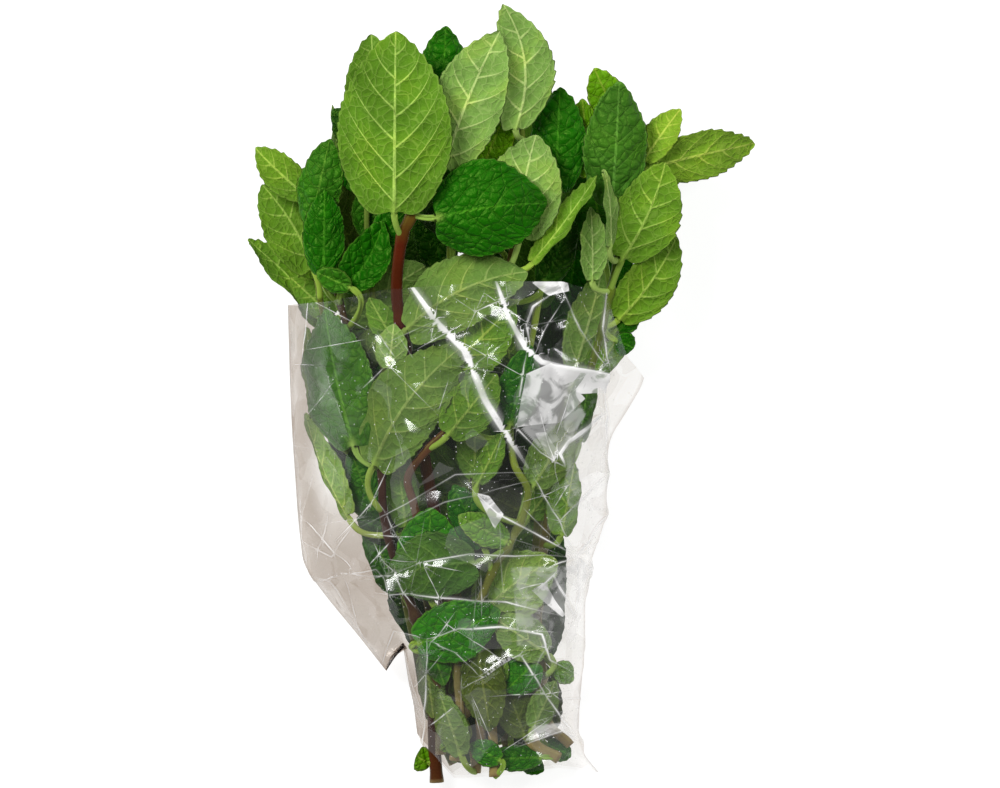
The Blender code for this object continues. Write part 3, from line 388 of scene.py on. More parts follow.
# For each sprig: points that its stem passes, its radius at the cut end and at the tip, the bark's screen
# colours from the cut end to the tip, and its leaves as rows of Leaf.
plainBark = ((140, 122, 80), (96, 96, 48), (84, 96, 44), (98, 120, 46))
sprigs = {
    "front_sprig": {
        "stem": ((-23, -140.4, 8), (-24, -118, 11), (-21, -90, 17), (-21, -59, 29), (-30, -8, 41),
                 (-36, 27, 48), (-37, 41, 53), (-35, 57, 58), (-31.5, 65, 60), (-24, 86, 60),
                 (-18, 100, 58)),
        "radius": (2.6, 2.3),
        "bark": ((70, 26, 18), (72, 32, 22), (60, 13, 6), (60, 11, 5), (80, 17, 11), (120, 130, 46)),
        "leaves": (
            ((-37.8, 66, 64), (-37.2, 130, 70), 41.5, "fresh", "under", 0, 6),
            ((-22.7, 63.7, 63), (17, 68.8, 60), 36, "dark", "upper", 6, -12, 0.09, -0.04),
            ((-20, 82, 60), (0, 130.5, 62), 27, "pale", "under", 6, 8, 0.06, -0.03),
            ((-43, 92, 54), (-46, 129.6, 55), 22, "fresh", "under", -10),
            ((-21, 98, 52), (-19.5, 132.8, 50), 20, "dark", "upper", 0, -10),
            ((-47, 90, 50), (-60, 103, 47), 14, "deep", "upper", 0, -10),
            ((-33, 24, 52), (10, 44.5, 54), 27, "dull", "under", -8, -8, 0.08, -0.08),
            ((-38, 20, 47), (-47, 35.5, 49), 11, "mid", "under", -10),
            ((-25.5, -133.5, 9.5), (-34, -130, 9.5), 9.5, "yellow", "upper", 0, -8),
        ),
    },
    "left_sprig": {
        "stem": ((-21.5, -130, 14), (-22.5, -106, 17.5), (-30.5, -80, 26.5), (-38, -59, 32), (-42, -42, 38),
                 (-43, -26, 41), (-48.5, -1.5, 37), (-55, 24, 34.5), (-60, 42, 37.5), (-63, 59, 41),
                 (-64, 72, 41)),
        "radius": (2.2, 1.1),
        "bark": ((105, 95, 55), (80, 55, 42), (62, 32, 30), (58, 28, 34), (66, 46, 32), (90, 110, 44)),
        "leaves": (
            ((-45, -24.5, 50), (-13, 18, 53), 28, "dull", "under", 4, -6, 0.05, -0.08),
            ((-39.7, 10, 50), (-38, 26, 52), 12.5, "pale", "under"),
            ((-46.5, -18, 45), (-57, 31.5, 42.5), 27, "blue", "upper", -5, -6, 0.04, -0.02),
            ((-53.5, -40, 33), (-70, -3, 31), 20, "pale", "under", -12, 8, 0.03, -0.06),
            ((-36, -83, 36), (-6, -71, 41), 23, "vivid", "upper", 4, 4, 0.03, 0.04),
            ((-36, -70, 31), (-49, -46, 33), 17, "mid", "upper", -4, -8),
            ((-30, -91, 27), (-27, -114, 25), 12, "dull", "under", -6, 6),
            ((-23, -86, 32), (-17, -105, 32), 12, "mid", "upper", 0, -8),
            ((-56.5, 38.5, 45), (-42, 63, 47), 18, "dark", "upper", 0, 22, 0.02, 0.08),
            ((-54, 36, 47), (-66, 41.5, 46), 10, "mid", "upper", 0, 25),
            ((-63.5, 44, 45), (-63, 74.5, 47), 16, "dark", "upper", 4, -14),
            ((-47, 57, 36), (-50, 75, 37), 11, "mid", "upper"),
        ),
    },
    "far_left_sprig": {
        "stem": ((-17, -134, 4.5), (-27, -112, 6.5), (-31, -90, 12), (-38, -60, 19), (-47, -35, 24),
                 (-55, -10, 27), (-61, 15, 28), (-65, 35, 29), (-68, 55, 32), (-68, 70, 34)),
        "radius": (1.9, 1.0),
        "bark": ((96, 106, 56), (84, 94, 44), (74, 64, 36), (92, 112, 44)),
        "leaves": (
            ((-62, 23, 27), (-93.6, 57, 30), 17, "bright", "under", 30, 24, 0.02, 0.06),
            ((-64, 26, 19), (-79, 40, 17), 12, "mid", "under"),
            ((-67.7, 46, 40), (-86.4, 76.5, 36), 24, "bright", "under", 12, 10, 0.04, 0.05),
            ((-70, 72, 37), (-89, 89.6, 34), 14, "bright", "under", -6),
            ((-67.5, 62, 41), (-61, 92.5, 44), 17, "mid", "upper", -10, -12),
            ((-60.5, 84, 32), (-60.5, 105, 36), 12, "bright", "under", 72),
            ((-63, -9, 24), (-71, 25, 22), 13, "dull", "under", -20),
        ),
    },
    "middle_sprig": {
        "stem": ((-9, -136.4, 13), (-7, -120, 17), (-12, -91.4, 22), (-25, -62, 34), (-31, -39, 42),
                 (-33, -29, 45.5), (-26, -19, 48), (-17, -10, 48), (-8, 4, 47.5), (-2, 24, 48), (3, 45, 49),
                 (7, 70, 50), (8, 92, 51), (6, 104, 51)),
        "radius": (2.1, 1.1),
        "bark": ((134, 114, 80), (112, 92, 58), (86, 55, 38), (76, 42, 30), (92, 74, 40), (120, 142, 54)),
        "leaves": (
            ((5.4, 96, 57), (1, 140.4, 57), 22, "pale", "under", 14, 12, 0.04, 0.12),
            ((7, 57, 54), (13, 93.6, 55), 28, "pale", "under", 4, 6, 0.07, -0.04),
            ((12, 48, 53), (35, 79.2, 52), 12, "bright", "under", -35, 34, 0.03, 0.04),
            ((20.2, 74, 48), (21.6, 111, 49), 22, "dark", "upper", -4, -16),
            ((-7, 80, 51), (3, 104, 52), 15, "yellow", "upper", 0, -10),
            ((16, 40, 49), (26, 65.2, 49), 14, "deep", "upper", 0, -14),
            ((-18.4, -13.7, 51), (-1, 8, 53), 19, "mid", "under", 0, 6),
            ((-22, 8, 51), (5.4, 34, 51), 23, "mid", "under", 0, -6, 0.06, 0.03),
            ((3.6, -10.4, 47), (10.8, 18.4, 48), 16, "dark", "upper", 0, -10),
            ((-1, 53, 46), (-24, 66, 44), 15, "mid", "upper", 0, -8),
            ((-14, -124, 23), (-22, -101, 27), 12, "dull", "under", 0, 6),
        ),
    },
    "right_sprig": {
        "stem": ((21, -131.4, 13), (11.5, -125, 17), (11.5, -113, 19), (15, -102, 20), (13.5, -76, 21),
                 (18, -42, 28), (28, -6, 35), (37, 25, 36), (42, 49, 39), (46.5, 70, 40), (50.5, 84, 38),
                 (53, 93, 37)),
        "radius": (2.2, 1.0),
        "bark": ((158, 142, 92), (112, 98, 56), (74, 76, 34), (86, 104, 36), (110, 148, 50)),
        "leaves": (
            ((40.3, 69, 50), (42.8, 113, 53), 24, "blue", "upper", 4, -14),
            ((44.3, 50, 46), (59.4, 84, 50), 25, "bright", "under", 10, 8, 0.05, 0.04),
            ((43, 28, 41), (63.7, 57.6, 45), 20, "bright", "under", 14, 10, 0.04, 0.04),
            ((36, 42, 47), (35.5, 68, 50), 13, "pale", "under", 16, 34),
            ((39, 54, 52), (37, 81.4, 52), 11, "pale", "under", 62, 12),
            ((27, 9.4, 40), (37, 45.4, 41), 17, "pale", "under", 8),
            ((22, -50, 38), (27, -24, 41), 15, "mid", "under", 0, 8),
            ((29, -16, 42), (33, 11, 43), 14, "blue", "upper", 6, -8),
            ((33, 6, 41), (46, 27, 40), 14, "mid", "under", 8, 8),
            ((52, 85, 41), (65, 103.3, 42), 13, "yellow", "under", -12, 14),
            ((51.8, 82, 38), (94, 91.4, 33), 19, "yellow", "under", 22, 8, 0.05, -0.03),
            ((32.4, 79, 43), (29.5, 107, 43), 14, "yellow", "upper", 0, -8),
            ((43.5, 97, 42), (33.8, 118, 42), 15, "yellow", "upper", 0, -10),
            ((50.5, 56, 38), (63.5, 74.5, 38), 14, "dark", "upper", 0, -10),
            ((42, 24, 36), (50, 31.5, 36), 10, "dark", "upper", 0, -12),
            ((42, 20, 33), (50, 17, 32), 9, "dark", "upper", 0, -12),
            ((16.5, -93, 32), (-2, -80, 33), 17, "pale", "under", 0, -6),
            ((13, -96, 29), (1.5, -107, 28), 16, "vivid", "upper", 0, -20, 0.1),
            ((9, -123, 22), (2, -104, 24), 15, "olive", "under", 0, 12),
            ((12, -120, 24), (20, -103, 25), 11, "dull", "under", 0, 8),
            ((20, -98, 23), (28, -103, 21), 9, "light", "upper", 0, -8),
            ((15, -131, 16), (-6, -132, 15), 10, "vivid", "upper", 0, -8),
        ),
    },
    "lower_sprig": {
        "stem": ((-16.5, -132, 17), (-14.5, -115.6, 21), (-15, -94, 28), (-11, -83.5, 32), (-3, -64, 37),
                 (7, -46, 42), (10, -34, 45), (5, -24, 45), (4, -8, 42), (10, 14, 38), (15, 40, 37),
                 (18, 62, 37), (19, 80, 37)),
        "radius": (2.0, 1.0),
        "bark": ((150, 134, 90), (90, 90, 42), (112, 128, 48), (124, 148, 60), (130, 152, 60)),
        "leaves": (
            ((-6.8, -79, 36), (20.2, -58.7, 40), 26, "light", "under", 6, 4, 0.05, -0.06),
            ((5.4, -55.4, 44), (-12.2, -46, 43), 12, "light", "upper", 0, -8),
            ((-6, -54, 43), (-17, -32, 43), 15, "dark", "upper", 0, -10),
            ((11, -43, 34), (25, -24.5, 33), 17, "mid", "under", 0, 6),
            ((-9, -60, 45), (-42, -67, 41), 25, "veiled", "under", 0, 4, 0.03, 0.06),
            ((-26, -62, 38), (-25, -34, 43), 24, "vivid", "upper", 0, -8),
            ((12, -32, 43), (26, -9, 44), 17, "dull", "under", 6, 6),
            ((-8, -31, 47), (1, -13, 47), 10, "mid", "under", 10, 20),
            ((-8, -92, 32), (-3.5, -121.5, 28), 17, "olive", "under", 0, -6),
            ((-12, -127, 17), (4, -111, 20), 14, "deep", "upper", 0, -8),
            ((-10, -127.5, 13), (-19, -131, 12), 8, "yellow", "upper", 0, -8),
        ),
    },
    "inner_left_sprig": {
        "stem": ((-2, -138, 18), (-3, -118, 19), (-6, -95, 20), (-17, -70, 20), (-31, -48, 26),
                 (-36, -30, 31), (-40, -8, 34), (-43, 18, 37), (-47, 45, 38), (-48, 68, 39), (-46, 88, 40)),
        "radius": (2.0, 1.0),
        "leaves": (
            ((-30, -62, 27), (-20, -36, 30), 14, "mid", "under", 0, 6),
            ((-44, -46, 31), (-54, -19, 32), 15, "mid", "upper", -6, -8),
            ((-45, 55, 43), (-27, 74, 43), 14, "dark", "upper", 0, -8),
            ((-34, -47, 33), (-37, -21, 34), 13, "dark", "under", 0, 6),
            ((-37, -62, 28), (-31, -43, 30), 14, "dark", "upper", 0, -10),
            ((-16, -60, 41), (-9, -38, 42), 13, "dark", "upper", 0, -10),
            ((-37, -50, 35), (-52, -44, 31), 12, "deep", "upper", 0, -8),
            ((0, -132, 21), (-11, -126, 20), 10, "vivid", "upper", 0, -8),
        ),
    },
    "back_left_sprig": {
        "stem": ((-16, -126, 5), (-18, -108, 7), (-24, -85, 9), (-31, -55, 11), (-38, -25, 12),
                 (-44, 5, 13), (-48, 35, 14), (-50, 60, 16), (-50, 84, 20)),
        "radius": (2.0, 1.0),
        "leaves": (
            ((-19, -101, 3.6), (-24, -125, 2.8), 13, "olive", "upper", 0, 0, 0),
            ((-26, -92, 4.5), (-38, -63, 5), 18, "deep", "upper", 0, 0, 0),
            ((-52, 62, 10), (-57, 90, 11), 15, "dark", "upper", 0, 0, 0),
        ),
    },
    "back_middle_sprig": {
        "stem": ((4, -135, 6), (1, -115, 8), (-3, -85, 9), (-6, -55, 11), (-9, -25, 12), (-10, 5, 13),
                 (-10, 35, 14), (-9, 65, 17), (-8, 92, 22)),
        "radius": (2.1, 1.0),
        "leaves": (
            ((3, -105, 3.6), (8, -133, 2.6), 16, "deep", "upper", 0, 0, 0),
            ((-3, -101, 3.6), (-9, -131, 2.6), 17, "olive", "upper", 0, 0, 0),
            ((-6, -8, 5), (-1, 22, 6), 17, "deep", "upper", 0, 0, 0),
            ((-14, 2, 5), (-28, 26, 6), 16, "dark", "upper", 0, 0, 0),
            ((-19, -37, 6), (-24, -8, 6), 15, "deep", "upper", 0, 0, 0),
            ((-13, 64, 14), (-19, 90, 15), 14, "dark", "upper", 0, 0, 0),
            ((-20, 44, 12), (-28, 72, 13), 15, "deep", "upper", 0, 0, 0),
        ),
    },
    "back_right_sprig": {
        "stem": ((26, -127, 9), (17, -119, 10), (12, -109, 12), (12, -85, 13), (13, -55, 15), (17, -25, 16),
                 (24, 5, 17), (31, 35, 18), (36, 60, 20), (38, 84, 23)),
        "radius": (2.0, 1.0),
        "leaves": (
            ((13, -98, 4), (18, -126, 2.8), 15, "olive", "upper", 0, 0, 0),
            ((16, -94, 4.5), (21, -48, 4.5), 15, "deep", "upper", 0, 0, 0),
            ((10, -6, 6), (6, 24, 6), 12, "deep", "upper", 0, 0, 0),
            ((20, -12, 6), (18, 33, 7), 17, "deep", "upper", 0, 0, 0),
            ((39, 32, 11), (44, 58, 12), 15, "dark", "upper", 0, 0, 0),
            ((24, 26, 9), (28, 58, 10), 16, "dark", "upper", 0, 0, 0),
            ((17, -127, 8), (27, -131, 8), 9, "vivid", "upper", 0, -8),
            ((8, -132, 10), (16, -136.5, 9), 8, "dark", "upper", 0, -8),
        ),
    },
    "inner_sprig": {
        "stem": ((-9, -133, 6.5), (-11, -112, 10), (-9, -88, 15), (-6, -62, 21), (-9, -32, 25),
                 (-16, 0, 27), (-18, 30, 29), (-18, 58, 32), (-14, 84, 35)),
        "radius": (2.0, 1.0),
        "leaves": (),
    },
}

def treeOf(points, faces):
    return BVHTree.FromPolygons([tuple(p) for p in points], faces), points.min(0), points.max(0)


def boxesMeet(a, b):
    return (a[1] < b[2]).all() and (a[2] > b[1]).all()


def crosses(a, b):
    return boxesMeet(a, b) and bool(a[0].overlap(b[0]))


def crossesItself(points, faces):
    tree = treeOf(points, faces)[0]
    return any(not set(faces[a]) & set(faces[b]) for a, b in tree.overlap(tree))


# The height of the highest of the trees over x, y, or 0.
def highestOf(trees, x, y):
    above, down = (x, y, 200), (0, 0, -1)
    hits = [tree.ray_cast(above, down)[0] for tree, low, high in trees
            if low[0] < x < high[0] and low[1] < y < high[1]]
    return max((hit[2] for hit in hits if hit), default=0)


# Trees of the whole leaf, of its blade and of its stalk.
def leafTrees(leaf, stem, extra=0.0):
    points, faces = leafSolid(leaf, stem, extra)
    row = 2 + len(leafForm["ribAt"])
    starts = (0, row, 2 * row, 2 * row + 3 + len(margin(leaf, 0)[0]))
    stalk = {start + k for start in starts for k in range(2)} | {starts[2] + 2, starts[3] + 2}
    ofStalk = [f for f in faces if any(p in stalk for p in f)]
    ofBlade = [f for f in faces if not any(p in stalk for p in f)]
    return [treeOf(points, part) for part in (faces, ofBlade, ofStalk)]


def moved(leaf, move):
    return leaf._replace(base=tuple(np.add(leaf.base, move)), tip=tuple(np.add(leaf.tip, move)))


placing = {
    # a leaf that crosses another is moved by one of these, in x and y either way, and in z
    "aside": (0, -3, 3, -6, 6), "lifts": (-12, 25, 1.5),
    "stemSpacing": 12,        # between the points of a stem from which leaves may grow
    # where a stem stays in view from above with a leaf below it: x, y and how far round it
    "stemsInView": ((-43, -38, 6), (-32, -37, 6), (-14, -92, 6), (-15, -112, 8), (-16, -128, 8), (-35, 52, 9),
                    (7, -24, 5), (22, -127, 9)),
}


# The stems and the leaves placed so far, each leaf clear of all the others.
class Bunch:

    def __init__(self, stems):
        self.stems = stems
        self.stemTrees = {name: treeOf(*stemSolid(stems[name], sprigs[name]["radius"])) for name in sprigs}
        self.film = treeOf(*sleeveSolid())
        self.placed = {name: [] for name in sprigs}
        self.trees = []

    # The leaf, a little enlarged, may touch only its own stem and the other leaf stalks on it.
    def isClear(self, leaf, name):
        whole, blade = leafTrees(leaf, self.stems[name], leafForm["testMargin"])[:2]
        if crossesItself(*leafSolid(leaf, self.stems[name])):
            return False
        others = [tree for other, tree in self.stemTrees.items() if other != name]
        if any(crosses(whole, tree) for tree in (self.film, *others)):
            return False
        for owner, (oWhole, oBlade, oStalk) in self.trees:
            if not boxesMeet(whole, oWhole):
                continue
            if owner != name and crosses(whole, oWhole):
                return False
            if owner == name and (crosses(whole, oBlade) or crosses(blade, oStalk)):
                return False
        return True

    # Place the leaf, moved by the first of the moves that gives it room.
    def settle(self, name, leaf, moves=((0, 0, 0),)):
        for move in moves:
            tried = moved(leaf, move)
            if self.isClear(tried, name):
                self.placed[name].append(tried)
                self.trees.append((name, leafTrees(tried, self.stems[name])))
                return True
        return False

    def top(self, x, y):
        return highestOf((trees[0] for owner, trees in self.trees), x, y)

    def stemTop(self, x, y):
        return highestOf(self.stemTrees.values(), x, y)

    # True if a leaf is on top at x, y, or a stem that stays in view, with a leaf under it.
    def isCovered(self, x, y):
        leaf = self.top(x, y)
        return leaf > 0 and (isStemInView(x, y) or leaf > self.stemTop(x, y))

    # True if nothing that is already placed would be hidden under the leaf.
    def isBelow(self, leaf):
        return all(not 0 < self.top(x, y) < z for x, y, z in pressedIn(bladeSamples(leaf)))


def isStemInView(x, y):
    return any(math.hypot(x - a, y - b) < r for a, b, r in placing["stemsInView"])


def bladeSamples(leaf):
    along, across = np.array((0.1, 0.4, 0.4, 0.7, 1)), np.array((0, 0.45, -0.45, 0.3, 0))
    return bladePoints(leaf, along, leaf.width * across)


# Leaves that grow from the deeper sprigs wherever the bunch could be seen through from above.
fillForm = {
    "sprigs": ("inner_left_sprig", "inner_sprig", "back_left_sprig", "back_middle_sprig", "back_right_sprig",
               "lower_sprig", "right_sprig", "far_left_sprig"),
    "outline": (  # of what they fill: y, left, right
        (-128, -22, 19), (-112, -24, 20), (-104, -26, 20), (-92, -26, 15), (-80, -36, 16), (-66, -40, 18),
        (-50, -49, 22), (-36, -58, 24), (-20, -66, 27), (0, -68, 35), (16, -69, 40), (26, -69, 45),
        (38, -76, 50), (52, -82, 57), (68, -82, 60), (80, -80, 64), (88, -62, 60), (98, -58, 56),
        (104, -57, 46), (109, -53, 20), (118, -50, 15), (126, -40, 6),
    ),
    "seed": 5, "grid": 5.0, "pairSpacing": 16.0,
    "length": (30.0, 46.0), "shortest": 14, "slender": (0.52, 0.64), "lifts": (0, -5, 5, 10, -10, 16),
    "roll": (-15, 15), "folds": (-12, -8, 8, 12), "bow": (0, 0.08),
    "reach": (12.0, 36.0), "ahead": 0.1, "loose": 6,    # how far from a node, how straight ahead, how random
    "middle": 0.45,                       # share of its length at which a leaf lies over its place
    "overStem": 2,                        # least height of its ends over a stem there
}

# Small leaves that close the gaps which are left, and young ones beside the stems.
littleForm = {
    "seed": 4, "grid": 2.5, "between": (-133, 124), "beside": 2,
    "length": (13, 25), "shortest": 8, "slender": (0.5, 0.62), "lifts": (0, -4, 4, -8, 8, 12, -12),
    "climb": (-0.15, 0.3), "roll": (-20, 20), "folds": (-14, -8, 8, 14), "bow": (0, 0.08),
    "sweep": (-0.06, 0.06), "reach": (4, 26), "ahead": -0.2, "loose": 4,
    "stemsTried": 14,
    "young": 24, "youngLength": (8, 15), "youngEnd": 40,    # none of them beside a stem past this y
    "low": 46, "lowLength": (10, 20), "lowEnd": -86,        # loose ones among the cut ends, below this y
    "lowest": -134,                                         # y that none of the loose ones passes
    "tries": 900, "turn": 1.3, "turnedBack": 0.4,
}


# True if the blade keeps inside the outline of the fill.
def inOutline(leaf):
    outline = fillForm["outline"]
    x, y = bladeSamples(leaf)[:, :2].T
    left, right = (tableAt(outline, k, y) for k in (1, 2))
    return bool(((x > left) & (x < right) & (y < outline[-1][0])).all())


# Places on a grid inside the outline, in random order.
def placesOnGrid(rng, start, end, step, beside):
    places = []
    for y in np.arange(start, end, step):
        left, right = (tableAt(fillForm["outline"], k, y) for k in (1, 2))
        places += [(x, y) for x in np.arange(left - beside, right + beside, step)]
    rng.shuffle(places)
    return places


# The nodes within reach of x, y whose stem heads there, about the nearest first: reach, name, place, heading.
def nodesNear(nodes, x, y, form, rng):
    options, loose = [], form["loose"]
    for name, place, tangent in nodes:
        away = math.hypot(x - place[0], y - place[1])
        heading = (np.array((x, y)) - place[:2]) / max(away, 0.1)
        if form["reach"][0] < away < form["reach"][1] and heading @ tangent[:2] > form["ahead"]:
            options.append((away + rng.uniform(-loose, loose), name, place, heading))
    return sorted(options, key=lambda option: option[0])


# The places along a stem from which leaves grow, with the stem's direction there.
def leafNodes(path):
    along = lengthAlong(path)
    for at in np.arange(fillForm["pairSpacing"], along[-1], fillForm["pairSpacing"]):
        i = int(np.searchsorted(along, at))
        yield path[i], unit(path[i] - path[i - 1])


# Grow one leaf over x, y from the first option that gives it room.
def growOver(bunch, x, y, options, rng):
    form, stem = fillForm, bunch.stemTop(x, y)
    for reach, name, place, heading in options:
        length = min(rng.uniform(*form["length"]), (reach - 3) / form["middle"])
        for lift in form["lifts"]:
            behind = form["middle"] * length * np.array((*heading, -rng.uniform(-0.1, 0.2)))
            base = np.array((x, y, place[2] + lift)) - behind
            tip = base + length * np.array((*heading, rng.uniform(-0.1, 0.25)))
            width, side = length * rng.uniform(*form["slender"]), rng.choice(("under", "upper"))
            leaf = Leaf(tuple(base), tuple(tip), width, None, side, rng.uniform(*form["roll"]),
                        rng.choice(form["folds"]), rng.uniform(*form["bow"]), 0)
            if min(base[2], tip[2]) < stem + form["overStem"] or length <= form["shortest"]:
                continue
            if inOutline(leaf) and bunch.isBelow(leaf) and bunch.settle(name, leaf):
                return


def fill(bunch):
    form, rng = fillForm, random.Random(fillForm["seed"])
    nodes = [(name, *node) for name in form["sprigs"] for node in leafNodes(bunch.stems[name])]
    start, end = form["outline"][0][0], form["outline"][-1][0]
    for x, y in placesOnGrid(rng, start, end, form["grid"], -2):
        if not bunch.isCovered(x, y):
            growOver(bunch, x, y, nodesNear(nodes, x, y, form, rng), rng)


# The sprigs' own leaves from the highest down, then those that fill the bunch.
def grownBunch(stems):
    aside, lifts = placing["aside"], np.arange(*placing["lifts"])
    moves = [(x, y, -z) for x in aside for y in aside for z in lifts]
    # the shortest moves come first, and down rather than sideways
    moves.sort(key=lambda m: 2 * math.hypot(m[0], m[1]) + (abs(m[2]) if m[2] <= 0 else 2 * m[2]))
    bunch = Bunch(stems)
    given = [(name, Leaf(*row)) for name, sprig in sprigs.items() for row in sprig["leaves"]]
    given.sort(key=lambda entry: -(entry[1].base[2] + entry[1].tip[2]))
    for name, leaf in given:
        bunch.settle(name, leaf, moves)
    fill(bunch)
    return bunch


# A leaf with its middle at the place, pointing along the heading and a little up or down.
def littleLeaf(rng, place, heading, length):
    form = littleForm
    base = place - 0.5 * length * np.array((*heading, 0.0))
    tip = base + length * np.array((*heading, rng.uniform(*form["climb"])))
    width, side = length * rng.uniform(*form["slender"]), rng.choice(("under", "upper"))
    return Leaf(tuple(base), tuple(tip), width, None, side, rng.uniform(*form["roll"]),
                rng.choice(form["folds"]), rng.uniform(*form["bow"]), rng.uniform(*form["sweep"]))


# Grow one small leaf over x, y, below whatever is in view already.
def closeGap(bunch, x, y, options, rng):
    form = littleForm
    for reach, name, place, heading in options:
        length = min(rng.uniform(*form["length"]), 2 * reach)
        for lift in form["lifts"]:
            leaf = littleLeaf(rng, np.array((x, y, place[2] + lift)), heading, length)
            if length <= form["shortest"] or not inOutline(leaf):
                continue
            if bunch.isBelow(leaf) and bunch.settle(name, leaf):
                return


def closeGaps(bunch, rng):
    form = littleForm
    nodes = [(name, path[k], unit(path[k] - path[k - 1])) for name, path in bunch.stems.items()
             for k in range(1, len(path))]
    for x, y in placesOnGrid(rng, *form["between"], form["grid"], form["beside"]):
        if bunch.top(x, y) == 0 and bunch.stemTop(x, y) == 0:
            options = nodesNear(nodes, x, y, form, rng)
            closeGap(bunch, x, y, options[:form["stemsTried"]], rng)


# Leaves beside the stems: small ones under what is in view, and loose ones on top near the cut ends.
def youngLeaves(bunch, rng, low):
    form, grown = littleForm, 0
    wanted, lengths = form["low" if low else "young"], form["lowLength" if low else "youngLength"]
    for trial in range(form["tries"]):
        name = rng.choice(list(bunch.stems))
        path = bunch.stems[name]
        k = rng.randrange(1, len(path))
        if grown == wanted or (path[k][1] < form["lowEnd"]) != low or path[k][1] > form["youngEnd"]:
            continue
        turn, length = rng.uniform(-form["turn"], form["turn"]), rng.uniform(*lengths)
        if low and rng.random() < form["turnedBack"]:
            turn += math.pi
        along = unit(path[k] - path[k - 1])[:2]
        heading = np.array((along[0] * math.cos(turn) - along[1] * math.sin(turn),
                            along[0] * math.sin(turn) + along[1] * math.cos(turn)))
        away = length * 0.5 + rng.uniform(2, 6)
        place = path[k] + np.array((*(heading * away), rng.uniform(-2, 9) if low else rng.uniform(-4, 4)))
        leaf = littleLeaf(rng, place, heading, length)
        if low:
            endsInside = min(leaf.base[1], leaf.tip[1]) > form["lowest"]
            fits = not isStemInView(*place[:2]) and endsInside and inOutline(leaf)
        else:
            fits = bunch.isBelow(leaf)
        if fits and bunch.settle(name, leaf):
            grown += 1


leafTones = {  # screen colours: upper side, veins of the upper side, underside, veins of the underside
    "fresh": ((40, 104, 14), (100, 150, 50), (78, 120, 26), (156, 188, 88)),
    "pale": ((54, 112, 30), (112, 156, 74), (114, 152, 70), (180, 204, 124)),
    "mid": ((38, 98, 14), (86, 138, 40), (82, 124, 36), (138, 168, 76)),
    "dark": ((14, 88, 2), (58, 126, 24), (84, 126, 42), (128, 160, 76)),
    "deep": ((8, 54, 2), (30, 84, 14), (50, 88, 20), (80, 118, 40)),
    "blue": ((50, 100, 24), (92, 146, 56), (100, 140, 66), (140, 172, 100)),
    "yellow": ((86, 140, 8), (144, 176, 54), (108, 148, 38), (164, 188, 80)),
    "bright": ((66, 124, 14), (132, 172, 66), (86, 128, 30), (146, 178, 78)),
    "vivid": ((32, 110, 2), (80, 148, 28), (80, 134, 24), (132, 172, 66)),
    "light": ((98, 150, 44), (144, 182, 88), (118, 156, 66), (166, 192, 108)),
    "dull": ((60, 98, 36), (104, 134, 72), (90, 122, 54), (134, 158, 86)),
    "veiled": ((56, 104, 36), (88, 132, 66), (60, 100, 38), (92, 130, 62)),
    "olive": ((46, 64, 16), (76, 90, 34), (62, 80, 26), (96, 110, 50)),
}
fillTones = ("dark", "deep", "deep", "mid", "dull", "olive")  # of the leaves that fill the bunch
lowTones = ("olive", "olive", "deep", "dark", "dull", "mid", "olive", "deep")  # of those near the cut ends

leafLook = {
    "seed": 8,
    "cell": 0.6, "fillCell": 1.3,          # mm between the points of a leaf
    "fillWidth": 1.08,                     # width of a filling leaf beside that of its solid
    "lowEnd": -84,                         # y below which they have the low tones
    "stalkRows": 9, "stalkTone": (150, 178, 74),
    "tooth": 3.6, "toothDepth": 0.8,       # length and depth of a tooth in mm
    "veinLean": 1.15,                      # how far a side vein runs forward for its way out
    "pleat": 0.018, "wave": 0.020,         # rise between side veins and wave of the margin, shares of length
    "lobe": 0.055,                         # how far the base reaches back beside the stalk, share of length
    "thickness": 0.30, "rib": 0.8, "sideRib": 0.25,
    "netCell": (1.5, 0.034),               # cells between the veins: mm, and mm to a mm of length
}


# Quads between closed rings of points, and a fan at each end round one extra point.
def loopFaces(rows, count, flip):
    a, b = ringEdges(rows, count)
    j, first, last = np.arange(count), rows * count, rows * count + 1
    end = (rows - 1) * count
    low = stacked((j + 1) % count, j, np.full(count, first))
    high = stacked(j + end, (j + 1) % count + end, np.full(count, last))
    quads, triangles = stacked(a, b, b + count, a + count), np.concatenate([low, high])
    return (quads[:, ::-1], triangles[:, ::-1]) if flip else (quads, triangles)


# The blade's middle surface on a grid: the folded, arched and swept blade, pressed in by the film.
def bladeSurface(leaf, U, X):
    length, axis, side, normal = leafFrame(leaf)
    arch = (4 * U * (1 - U) * length)[..., None]
    fold = math.radians(leaf.fold)
    crease = (np.sqrt(X**2 + 1.0) - 1.0)[..., None]
    surface = (np.array(leaf.base, float) + (U * length)[..., None] * axis
               + (arch * leaf.bow + crease * math.sin(fold)) * normal
               + (arch * leaf.sweep + X[..., None] * math.cos(fold)) * side)
    return pressedIn(surface.reshape(-1, 3)).reshape(surface.shape)


